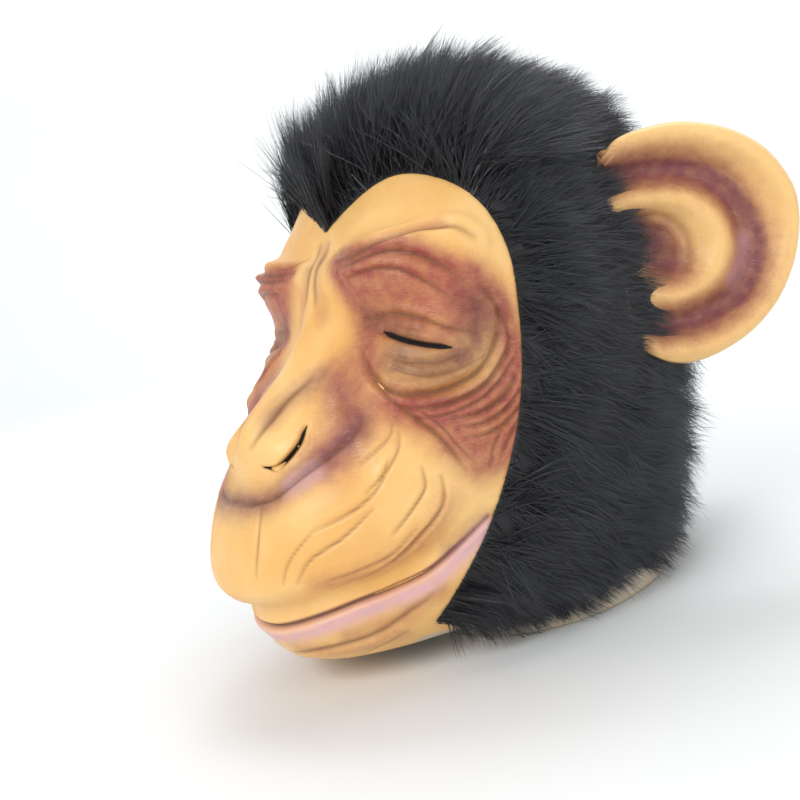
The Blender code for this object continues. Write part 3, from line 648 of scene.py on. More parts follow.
class Links:
    """A short way to add and join the nodes of one material or node group."""

    def __init__(self, tree: bpy.types.NodeTree) -> None:
        """Keeps the tree."""
        self.tree = tree

    def add(self, kind: str, **settings: object) -> bpy.types.Node:
        """Adds a node.

        Args:
            kind: The node's Blender type.
            settings: Its properties.

        Returns:
            The node.
        """
        node = self.tree.nodes.new(kind)
        for name, value in settings.items():
            setattr(node, name, value)
        return node

    def join(self, source: bpy.types.NodeSocket, target: bpy.types.NodeSocket) -> None:
        """Links two sockets."""
        self.tree.links.new(source, target)

    def noise(self, place: bpy.types.NodeSocket, scale: float, detail: float = 3.0) -> bpy.types.NodeSocket:
        """Returns the value of a noise at a place."""
        node = self.add("ShaderNodeTexNoise")
        node.inputs["Scale"].default_value = scale
        node.inputs["Detail"].default_value = detail
        self.join(place, node.inputs["Vector"])
        return node.outputs["Fac"]

    def ramp(
        self, source: bpy.types.NodeSocket, low: float, high: float, out: tuple[float, float]
    ) -> bpy.types.NodeSocket:
        """Returns a value mapped from low..high to a range, held at its ends."""
        node = self.add("ShaderNodeMapRange", interpolation_type="SMOOTHSTEP")
        node.inputs["From Min"].default_value = low
        node.inputs["From Max"].default_value = high
        node.inputs["To Min"].default_value = out[0]
        node.inputs["To Max"].default_value = out[1]
        self.join(source, node.inputs["Value"])
        return node.outputs["Result"]

    def maths(
        self, operation: str, first: bpy.types.NodeSocket, second: bpy.types.NodeSocket | float
    ) -> bpy.types.NodeSocket:
        """Returns the result of a sum on a value and a second value or number."""
        node = self.add("ShaderNodeMath", operation=operation)
        self.join(first, node.inputs[0])
        if isinstance(second, float):
            node.inputs[1].default_value = second
        else:
            self.join(second, node.inputs[1])
        return node.outputs[0]

    def blend(
        self,
        share: bpy.types.NodeSocket,
        first: bpy.types.NodeSocket | tuple[float, float, float],
        second: bpy.types.NodeSocket | tuple[float, float, float],
        mode: str = "MIX",
    ) -> bpy.types.NodeSocket:
        """Mixes two colours.

        Args:
            share: How much of the second shows.
            first: A colour or a socket.
            second: A colour or a socket.
            mode: The mixing mode.

        Returns:
            The mixed colour.
        """
        node = self.add("ShaderNodeMix", data_type="RGBA", blend_type=mode)
        self.join(share, node.inputs[0])
        for given, socket in ((first, node.inputs[6]), (second, node.inputs[7])):
            if isinstance(given, tuple):
                socket.default_value = (*given, 1.0)
            else:
                self.join(given, socket)
        return node.outputs[2]

    def mask(self, name: str) -> bpy.types.NodeSocket:
        """Returns a value stored on the mesh."""
        return self.add("ShaderNodeAttribute", attribute_name=name).outputs["Fac"]

    def group(self, made: bpy.types.NodeTree, **values: float) -> bpy.types.Node:
        """Places a node group with its own values."""
        node = self.add("ShaderNodeGroup", node_tree=made)
        for name, value in values.items():
            node.inputs[name].default_value = value
        return node


def new_material(name: str) -> tuple[bpy.types.Material, Links, bpy.types.Node]:
    """Starts a material with a Principled shader.

    Args:
        name: The material's name.

    Returns:
        The material, its links helper and its shader node.
    """
    made = bpy.data.materials.new(name)
    made.use_nodes = True
    return made, Links(made.node_tree), made.node_tree.nodes["Principled BSDF"]


def broken_edge_group() -> bpy.types.NodeTree:
    """Builds the group that breaks up a painted mask with speckle and soft drift.

    Returns:
        The node group, with inputs Place, Mask and Break and the output Mask.
    """
    tree = bpy.data.node_groups.new("BrushedEdge", "ShaderNodeTree")
    tree.interface.new_socket("Place", in_out="INPUT", socket_type="NodeSocketVector")
    tree.interface.new_socket("Mask", in_out="INPUT", socket_type="NodeSocketFloat")
    tree.interface.new_socket("Break", in_out="INPUT", socket_type="NodeSocketFloat")
    tree.interface.new_socket("Mask", in_out="OUTPUT", socket_type="NodeSocketFloat")
    links = Links(tree)
    given = links.add("NodeGroupInput")
    result = links.add("NodeGroupOutput")
    drift = links.maths("SUBTRACT", links.noise(given.outputs["Place"], 160.0, 4.0), 0.5)
    speck = links.maths("SUBTRACT", links.noise(given.outputs["Place"], 900.0, 2.0), 0.5)
    both = links.maths("ADD", drift, links.maths("MULTIPLY", speck, 0.6))
    scaled = links.maths("MULTIPLY", both, given.outputs["Break"])
    moved = links.maths("ADD", given.outputs["Mask"], scaled)
    fade = links.maths("MULTIPLY", moved, links.ramp(given.outputs["Mask"], 0.0, 0.12, (0.0, 1.0)))
    held = links.maths("MAXIMUM", links.maths("MINIMUM", fade, 1.0), 0.0)
    links.join(held, result.inputs["Mask"])
    return tree


def latex_skin_group() -> bpy.types.NodeTree:
    """Builds the group for cast latex: pores, fine skin lines and soft lumps as one height.

    Returns:
        The node group, with inputs Place and Wrinkle and the output Height in millimetres.
    """
    tree = bpy.data.node_groups.new("LatexSkin", "ShaderNodeTree")
    tree.interface.new_socket("Place", in_out="INPUT", socket_type="NodeSocketVector")
    tree.interface.new_socket("Wrinkle", in_out="INPUT", socket_type="NodeSocketFloat")
    tree.interface.new_socket("Height", in_out="OUTPUT", socket_type="NodeSocketFloat")
    links = Links(tree)
    given = links.add("NodeGroupInput")
    result = links.add("NodeGroupOutput")
    pores = links.add("ShaderNodeTexVoronoi", feature="F1")
    pores.inputs["Scale"].default_value = 900.0
    links.join(given.outputs["Place"], pores.inputs["Vector"])
    pore_depth = links.ramp(pores.outputs["Distance"], 0.0, 0.35, (-0.03, 0.0))
    lumps = links.maths("MULTIPLY", links.noise(given.outputs["Place"], 120.0, 4.0), 0.10)
    cells = links.add("ShaderNodeTexVoronoi", feature="DISTANCE_TO_EDGE")
    cells.inputs["Scale"].default_value = 330.0
    stretch = links.add("ShaderNodeMapping")
    stretch.inputs["Scale"].default_value = (1.0, 1.0, 2.6)
    links.join(given.outputs["Place"], stretch.inputs["Vector"])
    links.join(stretch.outputs["Vector"], cells.inputs["Vector"])
    lines = links.ramp(cells.outputs["Distance"], 0.0, 0.12, (-0.16, 0.0))
    lines = links.maths("MULTIPLY", lines, given.outputs["Wrinkle"])
    total = links.maths("ADD", links.maths("ADD", pore_depth, lumps), lines)
    links.join(total, result.inputs["Height"])
    return tree


@dataclass(frozen=True)
class LatexFinish:
    """Painted cast latex: a warm base, airbrushed tints, painted shade in the creases and near-black painted
    shade in the openings.
    """

    name: str
    base: tuple[float, float, float] = (0.88, 0.47, 0.135)
    pale: tuple[float, float, float] = (0.96, 0.60, 0.23)
    flush: tuple[float, float, float] = (0.40, 0.085, 0.070)
    mauve: tuple[float, float, float] = (0.22, 0.062, 0.072)
    lilac: tuple[float, float, float] = (0.80, 0.47, 0.50)
    bag: tuple[float, float, float] = (0.17, 0.048, 0.040)
    cream: tuple[float, float, float] = (0.62, 0.55, 0.44)
    # Near-black colour of the painted shade in the openings.
    dark: tuple[float, float, float] = (0.012, 0.007, 0.006)
    # The colour of the painted shade laid in the creases.
    crease_shade: tuple[float, float, float] = (0.15, 0.055, 0.022)
    roughness: float = 0.42

    def build(self, brushed: bpy.types.NodeTree, skin: bpy.types.NodeTree) -> bpy.types.Material:
        """Makes the material.

        Args:
            brushed: The group that breaks up painted edges.
            skin: The group with the latex's fine height.

        Returns:
            The material.
        """
        made, links, shader = new_material(self.name)
        place = links.add("ShaderNodeTexCoord").outputs["Object"]
        warm = links.ramp(links.noise(place, 26.0, 4.0), 0.35, 0.68, (0.0, 1.0))
        colour = links.blend(warm, self.base, self.pale)
        mottle = links.ramp(links.noise(place, 300.0, 4.0), 0.30, 0.70, (0.0, 0.10))
        colour = links.blend(mottle, colour, (0.80, 0.40, 0.16))
        flush_mask = None
        for tint, paint, rough_edge in (
            (Tint.FLUSH, self.flush, 0.34),
            (Tint.BAG, self.bag, 0.30),
            (Tint.MAUVE, self.mauve, 0.22),
            (Tint.LILAC, self.lilac, 0.20),
            (Tint.CREAM, self.cream, 0.10),
        ):
            edge = links.group(brushed, Break=rough_edge)
            links.join(place, edge.inputs["Place"])
            links.join(links.mask(tint.value), edge.inputs["Mask"])
            spread = links.ramp(links.noise(place, 210.0, 3.0), 0.3, 0.7, (0.80, 1.0))
            share = links.maths("MULTIPLY", edge.outputs["Mask"], spread)
            colour = links.blend(share, colour, paint)
            if tint is Tint.FLUSH:
                flush_mask = share
        # Painted shade darkening the creases.
        crease_shade_share = links.maths("MULTIPLY", links.mask("crease_shade"), 0.72)
        colour = links.blend(crease_shade_share, colour, self.crease_shade)
        # Near-black painted shade in the eye openings, nostrils and ear canals.
        colour = links.blend(links.mask("slit"), colour, self.dark)
        links.join(colour, shader.inputs["Base Color"])
        skin_node = links.group(skin)
        links.join(place, skin_node.inputs["Place"])
        links.join(flush_mask, skin_node.inputs["Wrinkle"])
        bump = links.add("ShaderNodeBump")
        bump.inputs["Distance"].default_value = MM
        bump.inputs["Strength"].default_value = 0.9
        links.join(skin_node.outputs["Height"], bump.inputs["Height"])
        links.join(bump.outputs["Normal"], shader.inputs["Normal"])
        sheen = (self.roughness - 0.06, self.roughness + 0.08)
        gloss = links.ramp(links.noise(place, 70.0, 3.0), 0.3, 0.7, sheen)
        links.join(links.maths("MAXIMUM", gloss, links.mask("slit")), shader.inputs["Roughness"])
        shader.inputs["Specular IOR Level"].default_value = 0.45
        shader.inputs["Subsurface Weight"].default_value = 0.06
        shader.inputs["Subsurface Radius"].default_value = (0.006, 0.003, 0.0015)
        return made


@dataclass(frozen=True)
class FurFinish:
    """Black long-pile fake fur: near black at the root as painted shade deep in the pile, and a painted
    blue-grey sheen towards the tips.
    """

    name: str = "black_fake_fur"
    # Darker at the root: painted shade deep in the pile.
    root: tuple[float, float, float] = (0.004, 0.004, 0.006)
    shaft: tuple[float, float, float] = (0.013, 0.014, 0.019)
    # Lighter tips: a painted sheen.
    tip: tuple[float, float, float] = (0.050, 0.052, 0.064)
    roughness: float = 0.42

    def build(self) -> bpy.types.Material:
        """Makes the material, which reads how far along its hair a point is and which lock it is in."""
        made, links, shader = new_material(self.name)
        along = links.mask("along")
        lock = links.mask("lock")
        # Painted shade at the root fading out along the hair, then a painted sheen towards the tip.
        body = links.blend(links.ramp(along, 0.0, 0.6, (0.0, 1.0)), self.root, self.shaft)
        tip_sheen_share = links.maths("MULTIPLY", links.ramp(along, 0.35, 1.0, (0.0, 1.0)), lock)
        colour = links.blend(tip_sheen_share, body, self.tip)
        links.join(colour, shader.inputs["Base Color"])
        sheen = (self.roughness + 0.12, self.roughness - 0.08)
        links.join(links.ramp(lock, 0.0, 1.0, sheen), shader.inputs["Roughness"])
        shader.inputs["Specular IOR Level"].default_value = 0.55
        return made


# The pieces


def add_piece(
    name: str, mesh: bpy.types.Mesh, node: str, finish: bpy.types.Material
) -> bpy.types.Object:
    """Puts a mesh in the scene in place of a CAD node.

    Args:
        name: The piece's name.
        mesh: Its mesh, in the frame's own place.
        node: The CAD node that it replaces.
        finish: Its material.

    Returns:
        The object.
    """
    mesh.materials.append(finish)
    mesh.shade_smooth()
    made = bpy.data.objects.new(name, mesh)
    bpy.context.scene.collection.objects.link(made)
    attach(made, "root")
    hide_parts(node)
    LOG.info("%s: %d faces", name, len(mesh.polygons))
    return made


@dataclass
class LatexHead:
    """The hollow cast head: a fine outer skin with its creases, a coarser inner skin and a flat neck rim."""

    form: HeadForm
    columns: int = 288
    rows: int = 176
    inner_columns: int = 96
    inner_rows: int = 56
    wall: float = 0.0024
    neck_height: float = 0.016
    neck_fade: float = 0.003
    middle_share: float = 0.41
    behind_power: int = 13
    below_rim: float = 3.0
    crease_reach: float = 0.0018
    slit_reach: float = 0.0014

    def warped(self, shape: bmesh.types.BMesh) -> np.ndarray:
        """Spreads a unit sphere's columns and rows so that most of them fall in the face.

        Args:
            shape: The sphere.

        Returns:
            A unit direction for each vertex, with rows below the rim just under it.
        """
        start = np.array([vert.co for vert in shape.verts])
        azimuth = np.arctan2(start[:, 0], -start[:, 1]) / math.pi
        share = np.arccos(np.clip(start[:, 2], -1.0, 1.0)) / math.pi
        behind = (1.0 - self.middle_share) * np.abs(azimuth) ** self.behind_power
        spread = np.sign(azimuth) * 180.0 * (self.middle_share * np.abs(azimuth) + behind)
        way = np.interp(share, (0.0, 0.03, 0.08, 1.0), (0.0, 0.12, 0.28, 1.0))
        columns, column_of = np.unique(np.round(spread, 3), return_inverse=True)
        rim = self.form.rim_turn(columns)[column_of.reshape(-1)]
        turn = way * (rim + self.below_rim)
        turn = np.where(share > 0.9999, 180.0, turn)
        return self.form.direction_at(spread, 90.0 - turn)

    def outer(self, detail: FaceDetail) -> bmesh.types.BMesh:
        """Builds the outer skin.

        Args:
            detail: The creases and tints.

        Returns:
            The skin, open at the rim, with its masks on its vertices.
        """
        shape = bmesh.new()
        bmesh.ops.create_uvsphere(shape, u_segments=self.columns, v_segments=self.rows, radius=1.0)
        for vert, way in zip(shape.verts, self.warped(shape)):
            vert.co = way
        self.refine(shape, detail, [crease.spots for crease in CREASES], self.crease_reach)
        self.refine(shape, detail, [NOSTRIL, EYE_SLIT, MOUTH_LINE], self.slit_reach)
        direction = unit(np.array([vert.co for vert in shape.verts]))
        points = self.form.point(direction)
        folded = np.stack([np.abs(points[:, 0]), points[:, 1], points[:, 2]], axis=1)
        rise, crease_shade = detail.creases(folded)
        share = np.where(self.form.face_share(direction) > 0.0, 1.0, 0.0)
        points = points + self.form.normal(direction) * (rise * share)[:, None]
        neck = smooth_step((self.neck_height - points[:, 2]) / self.neck_fade) * (1.0 - share)
        # The first mask is the painted shade in the creases; cream is the bare latex of the neck.
        masks = {"crease_shade": crease_shade, "cream": neck}
        for tint, strength in detail.tints(folded).items():
            if tint is not Tint.CREAM:
                masks[tint.value] = strength
        for vert, place in zip(shape.verts, points):
            vert.co = place
        for name, values in masks.items():
            layer = shape.verts.layers.float.new(name)
            for vert, value in zip(shape.verts, values):
                vert[layer] = value
        self.cut_at_rim(shape)
        return shape

    def refine(
        self, shape: bmesh.types.BMesh, detail: FaceDetail, lines: list[tuple[Spot, ...]], reach: float
    ) -> None:
        """Splits the faces beside some lines into four, so that a fine line has vertices across it.

        Args:
            shape: The skin, its vertices standing at their unit directions.
            detail: The creases and tints.
            lines: The lines.
            reach: How far beside them the faces are split.
        """
        points = self.form.point(unit(np.array([vert.co for vert in shape.verts])))
        folded = np.stack([np.abs(points[:, 0]), points[:, 1], points[:, 2]], axis=1)
        beside = np.zeros(len(points), dtype=bool)
        for spots in lines:
            line = detail.line_of(spots)
            found = detail.near(folded, line, reach)
            gap, _ = line_distance(folded[found], line)
            beside[found[gap < reach]] = True
        shape.verts.index_update()
        faces = [face for face in shape.faces if any(beside[vert.index] for vert in face.verts)]
        edges = {edge for face in faces for edge in face.edges}
        bmesh.ops.subdivide_edges(shape, edges=list(edges), cuts=1, use_grid_fill=True)

    def cut_at_rim(self, shape: bmesh.types.BMesh) -> None:
        """Cuts a skin off flat at the rim."""
        everything = shape.verts[:] + shape.edges[:] + shape.faces[:]
        bmesh.ops.bisect_plane(
            shape, geom=everything, plane_co=(0, 0, 0), plane_no=(0, 0, -1), clear_outer=True
        )

    def build(self, finish: bpy.types.Material) -> bpy.types.Object:
        """Builds the whole head.

        Args:
            finish: The latex.

        Returns:
            The object.
        """
        detail = FaceDetail(self.form)
        shape = self.outer(detail)
        inner = bmesh.new()
        bmesh.ops.create_uvsphere(
            inner, u_segments=self.inner_columns, v_segments=self.inner_rows, radius=1.0
        )
        start = unit(np.array([vert.co for vert in inner.verts]))
        inside = self.form.point(start) - self.form.normal(start) * self.wall
        for vert, place in zip(inner.verts, inside):
            vert.co = place
        self.cut_at_rim(inner)
        bmesh.ops.reverse_faces(inner, faces=inner.faces)
        rest = bpy.data.meshes.new("inner_skin")
        inner.to_mesh(rest)
        inner.free()
        shape.from_mesh(rest)
        bpy.data.meshes.remove(rest)
        rim = [edge for edge in shape.edges if edge.is_boundary]
        bmesh.ops.bridge_loops(shape, edges=rim)
        mesh = bpy.data.meshes.new("latex_head_skin")
        bmesh.ops.triangulate(shape, faces=[face for face in shape.faces if len(face.verts) > 4])
        shape.to_mesh(mesh)
        shape.free()
        return add_piece("latex_face_and_scalp", mesh, "latex_head", finish)


class EarPoint(NamedTuple):
    """A place on the ear, in millimetres: out from its root and up from its middle."""

    out: float
    up: float


class EarLine(NamedTuple):
    """A ridge, or below zero a valley, of the ear's cup: height and half width in millimetres."""

    points: tuple[EarPoint, ...]
    height: float
    half_width: float


EAR_OUTLINE = (
    EarPoint(2.6, -39.7),
    EarPoint(14.1, -48.4),
    EarPoint(26.4, -52.0),
    EarPoint(41.4, -50.0),
    EarPoint(58.1, -43.3),
    EarPoint(73.0, -30.9),
    EarPoint(83.6, -12.9),
    EarPoint(88.0, 8.2),
    EarPoint(84.9, 21.6),
    EarPoint(77.0, 34.0),
    EarPoint(61.6, 44.8),
    EarPoint(41.4, 51.0),
    EarPoint(23.8, 51.0),
    EarPoint(11.4, 48.4),
    EarPoint(2.6, 41.2),
)
HELIX = (
    EarPoint(6, 42), EarPoint(22, 46), EarPoint(42, 45), EarPoint(60, 38), EarPoint(74, 26), EarPoint(82, 8),
    EarPoint(78, -12), EarPoint(66, -30), EarPoint(48, -42), EarPoint(27, -46), EarPoint(12, -42),
)
SCAPHA = (
    EarPoint(2, 33), EarPoint(16, 34), EarPoint(37, 31), EarPoint(53, 22), EarPoint(62, 6), EarPoint(62, -11),
    EarPoint(52, -26), EarPoint(34, -33), EarPoint(16, -33),
)
ANTIHELIX = (
    EarPoint(2, 22), EarPoint(16, 22), EarPoint(34, 19), EarPoint(46, 8), EarPoint(48, -5), EarPoint(40, -16),
    EarPoint(22, -22),
)
CONCHA_CREASE = (EarPoint(10, 14), EarPoint(24, 14), EarPoint(33, 7), EarPoint(36, -3), EarPoint(32, -12))
EAR_LINES = (
    EarLine(HELIX, 7.0, 7.0),
    EarLine(SCAPHA, -5.0, 6.5),
    EarLine(ANTIHELIX, 6.0, 7.0),
    EarLine((EarPoint(12, 6), EarPoint(20, 2), EarPoint(24, -5)), -9.0, 10.0),
    EarLine((EarPoint(10, 4), EarPoint(13, 3)), -6.0, 4.5),
    EarLine(CONCHA_CREASE, -1.3, 1.6),
    EarLine((EarPoint(14, 10), EarPoint(24, 8), EarPoint(29, 2), EarPoint(29, -8)), -0.8, 1.2),
    EarLine((EarPoint(50, 31), EarPoint(60, 24), EarPoint(66, 14), EarPoint(69, 2)), -1.2, 1.6),
)


@dataclass
class Ear:
    """One cupped latex ear with rolled rim, valley, inner ridge and bowl."""

    form: HeadForm
    side: float
    columns: int = 120
    rows: int = 84
    wall: float = 0.0035
    middle: float = 0.146
    turn: float = 101.0
    sweep: float = 57.0
    valley_rim_reach: float = 1.07
    edge_fall: float = 0.6
    root_fade: float = 0.12
    roll_share: float = 0.07
    roll_depth: float = 0.004
    root_low: float = -0.034
    root_high: float = 0.033
    seat_gap: float = 0.0006

    def root_line(self, heights: np.ndarray) -> np.ndarray:
        """Returns points on the left of the scalp at given heights, where the ear is seated."""
        low = np.full(heights.shape, -60.0)
        high = np.full(heights.shape, 89.0)
        turns = np.full(heights.shape, self.turn)
        for _ in range(30):
            angle = 0.5 * (low + high)
            over = self.form.point(self.form.from_nose(angle, turns))[..., 2] > heights
            low = np.where(over, low, angle)
            high = np.where(over, angle, high)
        direction = self.form.from_nose(0.5 * (low + high), turns)
        return self.form.point(direction) + self.form.normal(direction) * self.seat_gap

    def build(self, finish: bpy.types.Material) -> bpy.types.Object:
        """Builds the ear.

        Args:
            finish: The latex.

        Returns:
            The object.
        """
        shape = bmesh.new()
        bmesh.ops.create_grid(shape, x_segments=self.columns, y_segments=self.rows, size=0.5)
        grid = np.array([vert.co for vert in shape.verts])
        along = grid[:, 0] + 0.5
        outward = grid[:, 1] + 0.5
        outline = smooth_line(np.array(EAR_OUTLINE), 8)
        places = np.linspace(0.0, 1.0, len(outline))
        rim_out = np.interp(along, places, outline[:, 0]) * MM
        rim_up = np.interp(along, places, outline[:, 1]) * MM
        heights = self.middle + self.root_low + (self.root_high - self.root_low) * along
        root = self.root_line(heights)
        seat = self.root_line(np.array([self.middle]))[0]
        turn = math.radians(self.sweep)
        away = np.array([math.cos(turn), math.sin(turn), 0.0])
        facing = np.array([math.sin(turn), -math.cos(turn), 0.0])
        rim_rise = (self.middle + rim_up - seat[2])[:, None] * np.array([0.0, 0.0, 1.0])
        rim = seat + rim_out[:, None] * away + rim_rise
        flat = root + (rim - root) * outward[:, None]
        local = np.stack([(flat - seat) @ away, flat[:, 2] - self.middle], axis=1)
        height = np.zeros(len(local))
        fade = smooth_step(outward / self.root_fade)
        for line in EAR_LINES:
            gap, _ = line_distance(local, np.array(smooth_line(np.array(line.points))) * MM)
            height += line.height * MM * np.exp(-((gap / (line.half_width * MM)) ** 2))
        edge_roll = -self.roll_depth * smooth_step((outward - 1.0 + self.roll_share) / self.roll_share) ** 2
        front = flat + ((height + edge_roll) * fade)[:, None] * facing
        front = self.clear_of_head(front)
        mirror = np.array([self.side, 1.0, 1.0])
        for vert, place in zip(shape.verts, front * mirror):
            vert.co = place
        masks = self.masks(local)
        for name, values in masks.items():
            layer = shape.verts.layers.float.new(name)
            for vert, value in zip(shape.verts, values):
                vert[layer] = value
        bmesh.ops.recalc_face_normals(shape, faces=shape.faces)
        shape.normal_update()
        middle_face = min(shape.faces, key=lambda face: abs(face.calc_center_median().z - self.middle))
        if middle_face.normal.dot(Vector(facing * mirror)) < 0.0:
            bmesh.ops.reverse_faces(shape, faces=shape.faces)
        second_side(shape, self.wall)
        mesh = bpy.data.meshes.new("ear_skin")
        shape.to_mesh(mesh)
        shape.free()
        name = "left" if self.side > 0.0 else "right"
        return add_piece(f"latex_ear_{name}", mesh, f"ear_{name}", finish)

    def masks(self, local: np.ndarray) -> dict[str, np.ndarray]:
        """Returns the ear's tint masks, with painted shade in its crease and canal and a painted highlight,
        at places in its own plane, in metres.
        """
        valley, _ = line_distance(local, smooth_line(np.array(SCAPHA)) * MM)
        bowl, _ = line_distance(local, np.array(((14, 6), (22, 2), (25, -7))) * MM)
        canal, _ = line_distance(local, np.array(((6, 5), (13, 3))) * MM)
        crease, _ = line_distance(local, smooth_line(np.array(CONCHA_CREASE)) * MM)
        valley_rim, _ = line_distance(local, smooth_line(np.array(SCAPHA) * self.valley_rim_reach) * MM)
        # Line of a painted highlight low on the back of the ear's cup.
        sheen, _ = line_distance(local, np.array(((61, -4), (57, -14), (52, -20))) * MM)
        mauve = np.maximum(self.paint(valley, 6.0, 2.4), self.paint(bowl, 8.0, 3.0))
        mauve = np.maximum(mauve, 1.15 * self.paint(valley_rim, 2.6, 2.4))
        flush = np.maximum(self.paint(valley, 9.0, 2.4), self.paint(bowl, 12.0, 3.0))
        blank = np.zeros(len(local))
        return {
            "mauve": 0.92 * mauve,
            "flush": 0.72 * flush,
            # Painted highlight, in the lilac tint.
            "lilac": 0.45 * self.paint(sheen, 3.2, 2.0),
            "bag": blank,
            "cream": blank,
            # Painted shade in the ear canal.
            "slit": 0.9 * self.paint(canal, 4.5, 3.0),
            # Painted shade along the crease of the ear's bowl.
            "crease_shade": 0.5 * np.exp(-((crease / (1.2 * MM)) ** 2)),
        }

    def paint(self, gap: np.ndarray, half_width: float, fall: float) -> np.ndarray:
        """Returns a brush stroke's strength at a distance from its line, half width in millimetres."""
        return np.exp(-self.edge_fall * (gap / (half_width * MM)) ** fall)

    def clear_of_head(self, points: np.ndarray) -> np.ndarray:
        """Returns the points with any that dips into the scalp raised over it."""
        away = points - self.form.core
        distance = np.linalg.norm(away, axis=-1, keepdims=True)
        direction = away / distance
        surface = np.linalg.norm(self.form.point(direction) - self.form.core, axis=-1, keepdims=True)
        return self.form.core + direction * np.maximum(distance, surface + self.wall + self.seat_gap)


